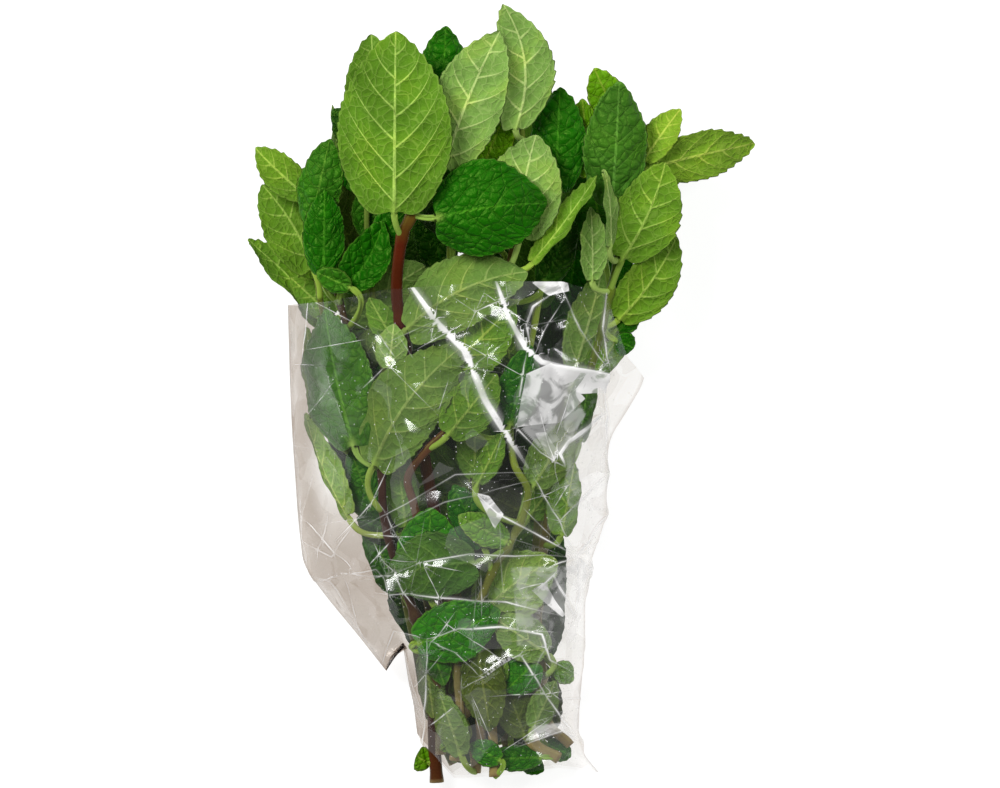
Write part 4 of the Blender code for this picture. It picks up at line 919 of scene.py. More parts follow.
# The blade's upper and lower skin on a grid of U, from the stalk to the tip, and V, from margin to margin.
# The outline is the egg shape with a saw of forward-pointing teeth; between the side veins, which lie where
# phase is whole, the blade rises as a sine; the rib and the veins stand out of the underside.
def bladeSkins(leaf, U, V, veins, seed):
    look, length = leafLook, leafFrame(leaf)[0]
    up = 1 if leaf.side == "upper" else -1
    teeth = max(5, round(length * 0.9 / look["tooth"]))
    saw = (teeth * (U - 0.05) / 0.91 + 0.3 * (V > 0)) % 1
    tooth = np.where(saw < 0.76, saw / 0.76, (1 - saw) / 0.24)
    toothed = smoothStep(U, 0.05, 0.12) * (1 - smoothStep(U, 0.95, 0.99)) * np.abs(V) ** 6
    depth = look["toothDepth"] * (length / 60) ** 0.4 * (1 + 0.3 * np.sin(9 * U + seed))
    half = halfWidth(U, leaf.width) + depth * (tooth - 0.55) * toothed
    half = np.sqrt(half**2 + (leafForm["stalkRadius"] * (1 - U) ** 8) ** 2)
    X = V * half
    lobe = look["lobe"] * U / 0.05 * np.exp(1 - U / 0.05) * V**2
    middle = bladeSurface(leaf, U + 0.5 * depth / length * (tooth - 0.5) * toothed - lobe, X)
    around = np.cross(np.gradient(middle, axis=1), np.gradient(middle, axis=0))
    face = around / np.maximum(np.linalg.norm(around, axis=2, keepdims=True), 1e-9) * up
    # the blade rises between its side veins, in cells that the cross veins divide
    lean = look["veinLean"] * (1 - 0.25 * U) * np.abs(X) / length * (0.78 + 0.55 * V**2)
    phase = veins * (U - lean + 0.10) + 0.25 * (V > 0) + 0.12 * np.sin(3 * V + seed)
    inside = smoothStep(phase + 0.15, 0, 0.4)
    rise = np.abs(np.sin(math.pi * phase)) ** 0.8 * (0.35 + 0.65 * inside)
    cells = 0.65 + 0.35 * np.abs(np.sin(0.8 * np.abs(X) + 2.1 * np.floor(phase) + 1.3 * np.sin(9 * phase)))
    shoulder = smoothStep(np.abs(X), 0.2, 0.2 + 0.16 * leaf.width) * (1 - 0.7 * np.abs(V) ** 4)
    size = length * look["pleat"] * (1.25 if up > 0 else 1.0)
    relief = size * rise * cells * shoulder * (1 - U**4)
    wave = np.sin(2 * math.pi * (2.3 * U + 0.3 * np.sign(V)) + seed)
    wave = look["wave"] * length * wave * np.abs(V) ** 2.5
    middle = middle + face * (relief + wave * smoothStep(U, 0, 0.3))[..., None]
    # thickness: a lens across the blade, thickest at the stalk, with the rib and the side veins below
    thick = look["thickness"] / 2 + leafForm["stalkRadius"] * np.exp(-U * length / 2.4)
    thick = np.sqrt(np.maximum(1 - V**2, 0)) * thick
    scale = (length / 60) ** 0.5
    rib = np.exp(-((X / (0.35 + 0.55 * (1 - U))) ** 2)) * (1 - U) ** 0.8 * look["rib"] * scale
    beside = np.abs(phase - np.round(phase))
    sideRib = np.exp(-((beside / 0.05) ** 2)) * inside * (1 - V**2) * look["sideRib"] * scale
    over = middle + face * (thick - 0.35 * rib * smoothStep(U, 0, 0.1))[..., None]
    under = middle - face * (thick + rib + sideRib)[..., None]
    isMargin = np.abs(V[..., None]) > 0.9999
    return np.where(isMargin, middle, over), np.where(isMargin, middle, under), X, half, phase


# Rows of a leaf stalk along its curve: the points of its grooved upper half and of its round lower half.
def stalkSkins(leaf, stem, v, up):
    over, under = [], []
    shares = np.linspace(0, 1, leafLook["stalkRows"] + 1)[:-1]
    for share, (centre, s, n) in zip(shares, stalkStations(leaf, stem, shares)):
        radius = leafForm["stalkRadius"] * (1.3 - 0.3 * smoothStep(share, 0, 0.4))
        ring = np.sqrt(1 - v**2)[:, None] * (n * up) * radius
        channel = 1 - 0.6 * np.exp(-((v / 0.45) ** 2)) * smoothStep(share, 0.1, 0.5)
        wide = v[:, None] * s * radius * (1 + 0.3 * share)
        over.append(centre + wide + ring * channel[:, None])
        under.append(centre + wide - ring)
    return np.array(over), np.array(under)


# One leaf as a closed skin: rings from the stem along the stalk and on round the blade to its tip.
# Every ring runs over the upper face from the left margin to the right one and back over the underside.
def leafSurface(leaf, stem, cell, rng):
    look, length = leafLook, leafFrame(leaf)[0]
    up = 1 if leaf.side == "upper" else -1
    columns = int(np.clip(leaf.width / cell, 8, 72))
    rows = int(np.clip(length / cell, 12, 110))
    veins = float(np.clip(2.6 + 0.05 * length, 3.5, 6))
    t = np.linspace(0, 1, rows + 1)[:-1]
    v = np.linspace(-1, 1, columns + 1)
    v = v + 0.05 * np.sin(math.pi * v)
    U, V = np.meshgrid(t - 0.09 * np.sin(2 * math.pi * t), v, indexing="ij")
    seed = rng.uniform(0, 60)
    over, under, X, half, phase = bladeSkins(leaf, U, V, veins, seed)
    stalkOver, stalkUnder = stalkSkins(leaf, stem, v, up)
    over, under = np.concatenate([stalkOver, over]), np.concatenate([stalkUnder, under])
    loop = np.concatenate([over, under[:, -2:0:-1]], axis=1)
    apex = pressedIn(bladePoints(leaf, np.array([1.0]), np.array([0.0])))[0]
    points = np.concatenate([loop.reshape(-1, 3), [loop[0].mean(0)], [apex]])
    ringRows, count = loop.shape[:2]

    def spread(stalkValue, grid, apexValue):  # one value a point, in the points' order
        grid = np.concatenate([np.full((look["stalkRows"], columns + 1), float(stalkValue)), grid])
        rings = np.concatenate([grid, grid[:, -2:0:-1]], axis=1)
        return np.concatenate([rings.ravel(), [stalkValue, apexValue]])

    isUnder = np.zeros((ringRows, count))
    isUnder[:, columns + 1:] = 1
    isUnder[:, 0] = isUnder[:, columns] = 0.5
    isUnder = np.concatenate([isUnder.ravel(), [0, 0.5]])
    # the colour goes over from the stalk's to the blade's along the rib
    weight = spread(0, 1 - (1 - smoothStep(U, 0.0, 0.10)) * np.exp(-((X / 1.3) ** 2)), 1)[:, None]
    upper, upperVein, lower, lowerVein = (srgb(*c) for c in leafTones[leaf.tone])
    mottle = 0.10 * np.sin(3 * U + seed) * np.cos(2 * V + seed)
    shade = 1 + 0.07 * np.sin(seed * 7) + spread(0, mottle, 0)[:, None]
    stalkTone = srgb(*look["stalkTone"]) * 0.4 + lowerVein * 0.3 + lower * 0.3
    below = isUnder[:, None]
    tone, vein = ((a * (1 - below) + b * below) * shade * weight + stalkTone * (1 - weight)
                  for a, b in ((upper, lower), (upperVein, lowerVein)))
    # the cells of the net run along the side veins and square to them
    lead = look["veinLean"]
    slant = math.hypot(1, lead) * (look["netCell"][0] + look["netCell"][1] * length)
    seeds = np.full(len(points), seed)
    quads, triangles = loopFaces(ringRows, count, up < 0)
    return {
        "points": points, "quads": quads, "triangles": triangles, "tone": tone, "vein": vein,
        "blade": stacked(spread(-3, phase, 5), spread(0, 0.66 * length / veins * (1 + 0.8 * np.abs(V)), 0),
                           weight[:, 0]),
        "flat": stacked(spread(0, X, 0), spread(-4, U * length, length), seeds),
        "net": stacked(spread(-3, phase * (length / veins / slant), 5),
                         spread(0, (np.abs(X) + lead * U * length) / slant, 0), seeds),
        "under": isUnder,
        "edge": spread(9, np.minimum((1 - np.abs(V)) * half, (1 - U) * length * 0.6), 0),
        "midrib": spread(9, X / (0.25 + 0.45 * (1 - U) * (length / 60) ** 0.5), 0),
    }


stemLook = {
    "pointsRound": 20, "spacing": 1.6,
    "swelling": 0.16, "swellingLength": 2.2,    # where a leaf stalk leaves the stem
    "cut": (190, 170, 120), "cutRim": (150, 125, 85),
}


# A stem: a rounded square with grooved faces carried along the path, thicker where leaves leave it.
def stemSurface(path, radius, colours, roots, seed):
    look, path = stemLook, pressedIn(path)
    tangents, across = framesAlong(path)
    over = np.cross(across, tangents)
    share = np.linspace(0, 1, len(path))
    thick = radius[0] + (radius[1] - radius[0]) * share
    for root in roots:
        away = np.linalg.norm(path - pressedIn([root]), axis=1)
        thick = thick * (1 + look["swelling"] * np.exp(-((away / look["swellingLength"]) ** 2)))
    count = look["pointsRound"]
    angle = np.arange(count) * 2 * math.pi / count
    corner = 0.84 + 0.13 * np.abs(np.cos(2 * (angle - math.pi / 4))) ** 0.8
    ring = across[:, None] * np.cos(angle)[None, :, None] + over[:, None] * np.sin(angle)[None, :, None]
    rings = path[:, None] + thick[:, None, None] * corner[None, :, None] * ring
    ends = [path[0] + tangents[0] * 0.35, path[-1] + tangents[-1] * 0.6]
    points = np.concatenate([rings.reshape(-1, 3), ends])
    quads, triangles = loopFaces(len(path), count, True)
    along = lengthAlong(path)
    table = np.array([srgb(*c) for c in colours])
    tone = stacked(*(np.interp(share, np.linspace(0, 1, len(table)), table[:, k]) for k in range(3)))
    tone[0] = srgb(*look["cutRim"])
    tone = np.concatenate([np.repeat(tone, count, axis=0), [srgb(*look["cut"])], [tone[-1]]])
    zero = np.zeros(len(points))
    flat = stacked(np.append(np.tile(angle, len(path)) * radius[0], (0, 0)),
                     np.append(np.repeat(along, count), (0, along[-1])), zero + seed)
    return {"points": points, "quads": quads, "triangles": triangles, "tone": tone, "vein": tone,
            "blade": stacked(zero - 3, zero, zero), "flat": flat, "net": flat, "under": zero,
            "edge": zero + 9, "midrib": zero + 9}


# A mesh with one value, vector or colour of each attribute at every point.
def meshFrom(name, points, quads, triangles, finish, attributes):
    mesh = bpy.data.meshes.new(name)
    corners = np.concatenate([quads.ravel(), triangles.ravel()]).astype(np.int32)
    sizes = np.concatenate([np.full(len(quads), 4), np.full(len(triangles), 3)])
    mesh.vertices.add(len(points))
    mesh.vertices.foreach_set("co", (points * 0.001).astype(np.float32).ravel())
    mesh.loops.add(len(corners))
    mesh.loops.foreach_set("vertex_index", corners)
    mesh.polygons.add(len(sizes))
    mesh.polygons.foreach_set("loop_start", (np.cumsum(sizes) - sizes).astype(np.int32))
    kinds = {1: ("FLOAT", "value"), 3: ("FLOAT_VECTOR", "vector"), 4: ("FLOAT_COLOR", "color")}
    for key, values in attributes.items():
        kind, field = kinds[values.size // len(points)]
        made = mesh.attributes.new(key, kind, "POINT")
        made.data.foreach_set(field, values.astype(np.float32).ravel())
    mesh.update(calc_edges=True)
    mesh.validate()
    mesh.shade_smooth()
    mesh.materials.append(finish)
    piece = bpy.data.objects.new(name, mesh)
    bpy.context.scene.collection.objects.link(piece)
    return piece


# Several surfaces in one mesh.
def joinedPiece(name, parts, finish):
    starts = np.cumsum([0] + [len(p["points"]) for p in parts])
    joined = {k: np.concatenate([p[k] for p in parts]) for k in parts[0]}
    for key in ("quads", "triangles"):
        joined[key] = np.concatenate([p[key] + s for p, s in zip(parts, starts)])
    for key in ("tone", "vein"):
        joined[key] = np.hstack([joined[key], np.ones((len(joined[key]), 1))])
    points, quads, triangles = (joined.pop(key) for key in ("points", "quads", "triangles"))
    return meshFrom(name, points, quads, triangles, finish, joined)


# A small helper for node trees: each call adds one node and gives back its output.
class Nodes:

    def __init__(self, name):
        self.material = bpy.data.materials.new(name)
        self.material.use_nodes = True
        self.tree = self.material.node_tree
        self.tree.nodes.clear()

    def add(self, kind, inputs=(), out=0, **settings):
        node = self.tree.nodes.new("ShaderNode" + kind)
        for key, value in settings.items():
            setattr(node, key, value)
        for key, value in (inputs.items() if isinstance(inputs, dict) else enumerate(inputs)):
            if isinstance(value, bpy.types.NodeSocket):
                self.tree.links.new(value, node.inputs[key])
            elif value is not None:
                node.inputs[key].default_value = value
        return node.outputs[out]

    def math(self, operation, first, *others):
        if not others:
            return self.add("Math", (first,), operation=operation)
        for other in others:
            first = self.add("Math", (first, other), operation=operation)
        return first

    def plus(self, *values):
        return self.math("ADD", *values)

    def times(self, *values):
        return self.math("MULTIPLY", *values)

    def most(self, *values):
        return self.math("MAXIMUM", *values)

    # Of an attribute: its colour, its vector or its value.
    def colour(self, name):
        return self.add("Attribute", attribute_name=name)

    def vector(self, name):
        return self.add("Attribute", attribute_name=name, out=1)

    def value(self, name):
        return self.add("Attribute", attribute_name=name, out=2)

    def parts(self, vector):
        return self.add("SeparateXYZ", (vector,)).node.outputs

    def vectorMath(self, operation, *values):
        return self.add("VectorMath", values, operation=operation)

    def scaled(self, vector, scale):
        return self.add("VectorMath", {0: vector, "Scale": scale}, operation="SCALE")

    def noise(self, place, scale, detail, out=0, **more):
        return self.add("TexNoise", {"Vector": place, "Scale": scale, "Detail": detail, **more}, out)

    def ramp(self, value, low, high, start=0.0, end=1.0):
        return self.add("MapRange", (value, low, high, start, end), interpolation_type="SMOOTHSTEP")

    def mixed(self, share, a, b):
        return self.add("MapRange", (share, 0.0, 1.0, a, b))

    def mix(self, share, a, b, blend="MIX"):
        return self.add("Mix", {0: share, 6: a, 7: b}, 2, data_type="RGBA", blend_type=blend)

    def finish(self, shader):
        end = self.tree.nodes.new("ShaderNodeOutputMaterial")
        self.tree.links.new(shader, end.inputs["Surface"])
        return self.material


def mintLeafFinish():
    n = Nodes("mintLeaf")
    tone, vein = n.colour("tone"), n.colour("vein")
    isUnder = n.ramp(n.value("under"), 0.2, 0.8)
    flat, cell = n.vector("flat"), n.vector("net")
    phase, veinSpacing, weight = n.parts(n.vector("blade"))
    cell = n.vectorMath("ADD", n.scaled(n.noise(flat, 0.2, 1.0, 1), 0.7), cell)
    cell = n.scaled(cell, n.mixed(isUnder, 0.82, 1.0))
    beside = n.times(n.math("PINGPONG", phase, 0.5), veinSpacing)
    lateral = n.times(n.ramp(beside, 0.15, 0.50, 1, 0), n.ramp(phase, -0.1, 0.3))
    rib = n.ramp(n.math("ABSOLUTE", n.value("midrib")), 0.6, 1.3, 1, 0)
    edge = n.value("edge")
    edges = n.add("TexVoronoi", {"Vector": cell, "Scale": 1.0}, feature="DISTANCE_TO_EDGE")
    fineEdges = n.add("TexVoronoi", {"Vector": flat, "Scale": 0.75}, feature="DISTANCE_TO_EDGE")
    net, dome = n.ramp(edges, 0.01, 0.08, 1, 0), n.ramp(edges, -0.10, 0.44)
    fineNet, fineDome = n.ramp(fineEdges, 0.01, 0.14, 1, 0), n.ramp(fineEdges, 0.0, 0.4)
    patches, grain = n.noise(flat, 0.07, 3.0), n.noise(flat, 1.6, 3.0)
    # colour: the blade's tone, paler along the veins and the rim, warmer in patches, with painted shade in
    # the valleys
    netShare = n.times(net, n.mixed(isUnder, 0.02, 0.25))
    fineShare = n.times(fineNet, n.mixed(isUnder, 0.0, 0.06))
    veinShare = n.times(lateral, n.mixed(isUnder, 0.32, 0.90), n.ramp(edge, 0.0, 8.0, 0.40, 1.0))
    ribShare = n.times(rib, n.mixed(isUnder, 0.75, 1.0))
    rim = n.times(n.ramp(edge, 0.15, 1.1, 1, 0), n.mixed(isUnder, 0.65, 0.35))
    share = n.most(n.most(netShare, fineShare), n.most(veinShare, ribShare), rim)
    colour = n.mix(n.times(share, weight), tone, vein)
    warm = n.mix(1.0, colour, (1.14, 1.06, 0.85, 1), "MULTIPLY")
    colour = n.mix(n.ramp(patches, 0.45, 0.68), colour, warm)
    # brightness varies in random patches and grain; the painted valley shade below is added to it
    light = n.plus(n.ramp(patches, 0.3, 0.6, 0.80, 1.05), n.ramp(grain, 0.3, 0.7, -0.07, 0.07))
    # painted shade: the upper side darkens along the cell edges of its net and along its side veins
    valleyShade = n.times(n.most(n.ramp(edges, 0.0, 0.12, 1, 0), lateral), n.mixed(isUnder, -0.22, 0.0))
    light = n.plus(light, n.times(valleyShade, weight))
    colour = n.mix(1.0, colour, n.add("CombineXYZ", (light, light, light)), "MULTIPLY")
    # relief, in millimetres: pillows between the veins on the upper side, raised veins on the underside
    lines = n.plus(n.times(net, 0.10), n.times(lateral, 0.16), n.times(fineNet, 0.03))
    pillows = n.plus(n.times(dome, 0.42), n.times(fineDome, 0.03))
    relief = n.times(n.math("SUBTRACT", pillows, lines), n.mixed(isUnder, 1.0, -0.7))
    relief = n.plus(n.times(relief, weight), n.times(grain, 0.08))
    normal = n.add("Bump", {"Strength": 1.0, "Distance": 0.001, "Height": relief})
    rough = n.plus(n.mixed(isUnder, 0.40, 0.66), n.ramp(grain, 0.3, 0.7, -0.05, 0.07))
    return n.finish(n.add("BsdfPrincipled", {
        "Base Color": colour, "Roughness": rough, "Normal": normal,
        "Specular IOR Level": 0.30, "Specular Tint": (0.60, 1.0, 0.16, 1),
    }))


def clearFilmFinish():
    n = Nodes("clearFilm")
    fromFold, foldHighlight, fine = n.parts(n.vector("crease"))
    away = n.math("DIVIDE", n.math("ABSOLUTE", fromFold), n.most(fine, 0.05))
    depth, glare, softGlare = n.parts(n.vector("glare"))
    # painted glare: white patches that stand for reflections of a bright wall
    paintedGlare = n.most(n.times(n.ramp(depth, -0.05, 0.25), glare), softGlare)
    place = n.add("TexCoord", out=3)
    speck = n.ramp(n.add("TexVoronoi", {"Vector": place, "Scale": 420.0}), 0.05, 0.10, 0.6, 0)
    smear = n.noise(place, 38.0, 4.0, Roughness=0.6)
    ripple = n.noise(place, 42.0, 1.5, Roughness=0.4)
    ripple = n.math("ABSOLUTE", n.math("SUBTRACT", ripple, 0.5))
    # flat facets, each tilted its own way, with a little painted reflection and painted shade on each
    bent = n.scaled(n.noise(place, 60.0, 1.0, 1), 0.012)
    facets = n.add("TexVoronoi", {"Vector": n.vectorMath("ADD", place, bent), "Scale": 70.0}, 1)
    facetGlare, facetShade = n.parts(facets)[:2]
    tilt = n.scaled(n.vectorMath("SUBTRACT", facets, (0.5, 0.5, 0.5)), 0.18)
    plane = n.vectorMath("NORMALIZE", n.vectorMath("ADD", n.add("NewGeometry", out=1), tilt))
    normal = n.add("Bump", {"Strength": 1.0, "Distance": 0.004, "Height": ripple, "Normal": plane})
    # a fold's edge gets a painted highlight, a white line with a glow round it, and painted shade, a dark
    # line on each side
    line = n.times(n.ramp(away, 0.5, 1.3, 1, 0), foldHighlight)
    glow = n.times(n.math("POWER", n.ramp(away, 0.0, 5.0, 1, 0), 2.0), n.times(foldHighlight, 0.30))
    dark = n.times(n.ramp(n.math("ABSOLUTE", n.math("SUBTRACT", away, 2.6)), 0.0, 1.4, 1, 0), foldHighlight)
    # painted shade: the dark lines beside folds, the grey of the flap and edges and the grey facets darken
    # the clear film's tint
    shade = n.plus(n.times(dark, 0.6), n.value("paintedShade"), n.ramp(facetShade, 0.35, 1.0, 0.0, 0.14))
    white = (*srgb(254, 253, 252), 1)
    clear = n.add("BsdfTransparent", (n.mix(shade, white, (*srgb(188, 175, 162), 1)),))
    gloss = n.add("BsdfGlossy", {"Color": (1, 1, 1, 1), "Roughness": 0.14, "Normal": normal})
    facing = n.add("LayerWeight", {"Blend": 0.5, "Normal": normal}, 1)
    edge = n.plus(n.times(n.math("POWER", facing, 4.0), 0.38), 0.05)
    film = n.add("MixShader", (edge, clear, gloss))
    # a white layer mixed over the film paints its highlights, glares and white facets, with faint smears and
    # specks
    highlightAndHazeLayer = n.add("BsdfPrincipled", {"Base Color": white, "Roughness": 0.35, "Normal": normal})
    marble = n.noise(place, 120.0, 3.0, Distortion=1.2)
    paintedGlare = n.times(paintedGlare, n.ramp(marble, 0.42, 0.58, 0.42, 1.0))
    hazeAndGlare = n.plus(n.ramp(smear, 0.50, 0.8, 0.0, 0.04), n.times(n.ramp(facetGlare, 0.5, 1.0), 0.06), speck,
                   paintedGlare)
    share = n.math("MINIMUM", n.plus(line, glow, hazeAndGlare), 0.96)
    return n.finish(n.add("MixShader", (share, film, highlightAndHazeLayer)))


filmLook = {
    "columns": 236, "backColumns": 44, "rows": 320, "randomCreases": 130, "creaseSeed": 3,
    "faint": 0.45,                       # glares under this whiteness have soft edges
    "corner": -100.0, "notch": -89.6,    # y of the flap's corner and of the notch beside it
    "cornerShare": 0.38,                 # of the film's width that hangs down with the corner
    "narrowLeft": (-33.3, -35.4),        # x of the narrow end's left edge below the notch
    "bentRows": (22, 20),                # how far below and above the corner rows bend
    # faint creases at random: where, how long, high, wide and how white their painted highlight is, and half
    # the width of their edge
    "creaseX": (-74, 38), "creaseY": (-134, 36), "creaseLength": (7, 30), "creaseHeight": (0.4, 1.0),
    "creaseWidth": (3, 8), "creaseHighlight": (0.0, 0.15, 0.3, 0.5), "creaseLine": (0.10, 0.22),
}
creases = (  # points x, y in mm; height and width of the fold in mm, whiteness of its painted highlight and half width of its edge
    (((-33, 42), (-21.6, 25.6), (-12.6, 16.6), (-5.4, -1.4), (9, -25)), 2.2, 6.0, 1.0, 1.3),
    (((-2, 42), (3, 28), (9, 16.6), (14.4, 12.2), (26, 9.5), (38, 8.3)), 2.0, 6.0, 1.0, 1.0),
    (((9, 16.6), (7, 2), (5.5, -11), (14, -20), (22.7, -25.5)), 1.2, 5.0, 0.55, 0.3),
    (((20, 42), (28, 24), (38, 9)), 1.4, 7.0, 0.3, 0.3),
    (((17.4, 36), (11.5, 32), (9.6, 26), (10, 18)), 1.0, 4.0, 0.6, 0.45),
    (((22.8, -25.4), (21, -20.7), (24, -16.4), (31, -11), (37, -6)), 1.2, 4.0, 1.0, 0.7),
    (((37.4, 38), (36, 24), (38.2, 8)), 1.6, 4.0, 0.6, 0.35),
    (((37, 8), (38.2, -10), (38.6, -25), (38.2, -44)), 1.0, 4.0, 0.5, 0.3),
    (((18.4, -46), (28, -38), (38, -28)), 1.2, 5.0, 0.45, 0.25),
    (((26, -57), (38, -51)), 1.2, 5.0, 0.45, 0.25),
    (((31, -60), (32, -76), (30, -92)), 1.0, 4.0, 0.45, 0.3),
    (((-52, -48), (-34, -39), (-16, -28.4), (10.8, -27.4)), -1.0, 7.0, 0.25, 0.2),
    (((-48, -52), (-20, -38), (12, -30)), 0.6, 6.0, 0.2, 0.2),
    (((10.8, -27.4), (20, -44), (25.9, -57)), 1.8, 8.0, 0.45, 0.25),
    (((-9.7, -33.8), (-1, -42), (12, -49), (25.9, -57)), 1.6, 6.0, 0.7, 0.3),
    (((38, -42), (32, -50), (25.9, -57), (16, -62)), 1.4, 5.0, 0.6, 0.3),
    (((25.9, -57), (34, -66)), 1.2, 5.0, 0.5, 0.25),
    (((25.9, -57), (27, -72), (24, -84)), 1.2, 5.0, 0.5, 0.25),
    (((-41.4, -66), (-28, -60), (-10.8, -57.2), (6, -58), (27, -57)), -1.8, 6.0, 0.5, 0.25),
    (((-44, -70), (-22, -72), (2, -74), (20, -79)), 1.6, 6.0, 0.55, 0.3),
    (((13, -70), (18, -64), (22, -72), (25, -80)), 1.2, 4.0, 0.7, 0.35),
    (((-25.2, -87), (-14.4, -83.2), (0, -83), (14.4, -86), (17, -95), (26, -100)), 1.6, 5.0, 0.7, 0.35),
    (((-25.4, -87), (-26, -110), (-28, -134)), 1.4, 4.0, 0.5, 0.25),
    (((-7.2, -100), (3.6, -93.6), (7.2, -93.2), (12, -101), (16.2, -108.4), (27.7, -125.6)),
     1.5, 5.0, 0.6, 0.3),
    (((-25, -88), (-16, -92), (-7.2, -100)), 1.2, 5.0, 0.35, 0.2),
    (((-74, -62), (-60, -66), (-43, -98)), 1.6, 6.0, 0.3, 0.2),
    (((-66, -66), (-44, -62), (-36, -76)), 1.4, 6.0, 0.3, 0.2),
    (((-74, -50), (-60, -58), (-52, -46)), 1.4, 7.0, 0.3, 0.2),
    (((-43, -98), (-38, -84), (-26, -87)), 1.4, 5.0, 0.4, 0.2),
    (((6, -127), (22, -121), (30, -128)), 1.0, 4.0, 0.4, 0.25),
)
glares = (  # patches painted white as reflections of a bright wall: corners anticlockwise, whiteness
    (((5.5, -11), (22, -10), (31, -1), (18, 12), (9, 8)), 0.64),
    (((18, 12), (24, 0), (38, 1), (38, 9), (26, 10.5)), 0.8),
    (((7.2, -11.2), (18.6, -24.2), (23, -18), (32, -9), (29, -3)), 0.34),
    (((12, -13), (18.6, -24.2), (21, -20), (17, -13)), 0.6),
    (((10.8, 41), (17, 35.8), (24.6, 37.6), (24, 41.1)), 0.7),
    (((-9.7, -33.8), (-2.5, -47), (-2, -48), (1, -42), (-4, -35.5)), 0.75),
    (((11, -70), (21, -80), (22, -79), (16, -66)), 0.85),
    (((26, -57), (22, -62), (30, -68), (33, -60)), 0.35),
    (((9, -125), (22, -122), (24, -118), (12, -119)), 0.3),
    (((4, -62), (6, -90), (27, -92), (31, -60)), 0.22),
    (((23, -16), (24, -40), (38, -42), (39, -6), (33, -10)), 0.18),
)


# How far each point is from a polyline, negative on its right, and how far along it, from 0 to 1.
def creaseField(x, y, line):
    best, along, side = np.full(x.shape, 1e9), np.zeros(x.shape), np.ones(x.shape)
    starts = lengthAlong(np.array(line, float))
    for (ax, ay), (bx, by), start in zip(line, line[1:], starts):
        span = math.hypot(bx - ax, by - ay)
        t = np.clip(((x - ax) * (bx - ax) + (y - ay) * (by - ay)) / span**2, 0, 1)
        distance = np.hypot(x - ax - t * (bx - ax), y - ay - t * (by - ay))
        isLeft = (bx - ax) * (y - ay) > (by - ay) * (x - ax)
        side = np.where(distance < best, np.where(isLeft, 1, -1), side)
        along = np.where(distance < best, (start + t * span) / starts[-1], along)
        best = np.minimum(best, distance)
    return best * side, along


# How deep each point lies inside a convex patch, negative outside.
def insideDepth(x, y, corners):
    depth = np.full(x.shape, 1e9)
    for (ax, ay), (bx, by) in zip(corners, corners[1:] + corners[:1]):
        span = math.hypot(bx - ax, by - ay)
        depth = np.minimum(depth, ((bx - ax) * (y - ay) - (by - ay) * (x - ax)) / span)
    return depth


# A column of the sections at y, averaged over a short stretch so that no row shows as a fold.
def smoothed(column, y):
    reach = np.interp(y, (-103, -101, -97, -92, -80), (1, 0.3, 0.3, 1, 4))
    steps = np.linspace(-1, 1, 5)
    return np.mean([tableAt(sleeveForm["sections"], column, y + d * reach) for d in steps], axis=0)


# The film without folds, a tube on a grid: round the section by angle, along it from the bottom rim to the
# mouth. Each row is a half ellipse raised to a power over a flat back. Gives the points, the share across,
# the same measured on the section where the flap hangs, and which points are in front.
def filmGrid():
    look = filmLook
    angle = np.concatenate([np.linspace(0, math.pi, look["columns"], endpoint=False),
                            np.linspace(math.pi, 2 * math.pi, look["backColumns"], endpoint=False)])
    share, front = np.cos(angle), np.sin(angle) > -1e-9
    bottom, mouth = sleeveRims(share, front)
    t = np.linspace(0, 1, look["rows"])[:, None]
    Y = bottom + (mouth - bottom) * t
    S = np.broadcast_to(share, Y.shape)
    # the flap's corner hangs down beside the narrow end: rows bend down to it, those below start at the notch
    corner, top = look["corner"], look["notch"]
    isFlap = Y > corner
    lowest, highest = corner - look["bentRows"][0], corner + look["bentRows"][1]
    near = np.where(Y < 0, np.interp(Y, (lowest, corner, highest), (0, 1, 0)), 0)
    Y = Y + (top - corner) * near * np.where(isFlap, np.clip((1 + S) / look["cornerShare"], 0, 1), 1)
    left, right, height = (smoothed(k, Y) for k in (1, 2, 3))
    edgeLeft = smoothed(1, np.maximum(Y, corner + 2.5)) + 0.8 * np.maximum(corner + 2.5 - Y, 0)
    narrowLeft = np.where(Y > corner - 4, np.interp(Y, (corner - 4, top), look["narrowLeft"]), left)
    left = np.where(isFlap, edgeLeft, narrowLeft)
    half = (right - left) / 2
    X = left + half * (1 + S)
    wide = tableAt(sleeveForm["sections"], 1, top)
    fanned = np.maximum(wide + (right - wide) / 2 * (1 + S), left + 0.4 * (1 + S))
    X = np.where(isFlap, X, X + (fanned - X) * near**2)
    start = np.minimum(narrowLeft, -30)
    narrow = np.clip(2 * (X - start) / (right - start) - 1, -1, 1)
    flat = np.where(isFlap, S + (narrow - S) * near, np.clip((X - left) / half - 1, -1, 1))
    lower, upper = filmHeights(flat, height, sleeveForm["leftRise"] - 0.9 * near, S < 0)
    return np.stack([X, Y, np.where(front, upper, lower)], -1), S, flat, front


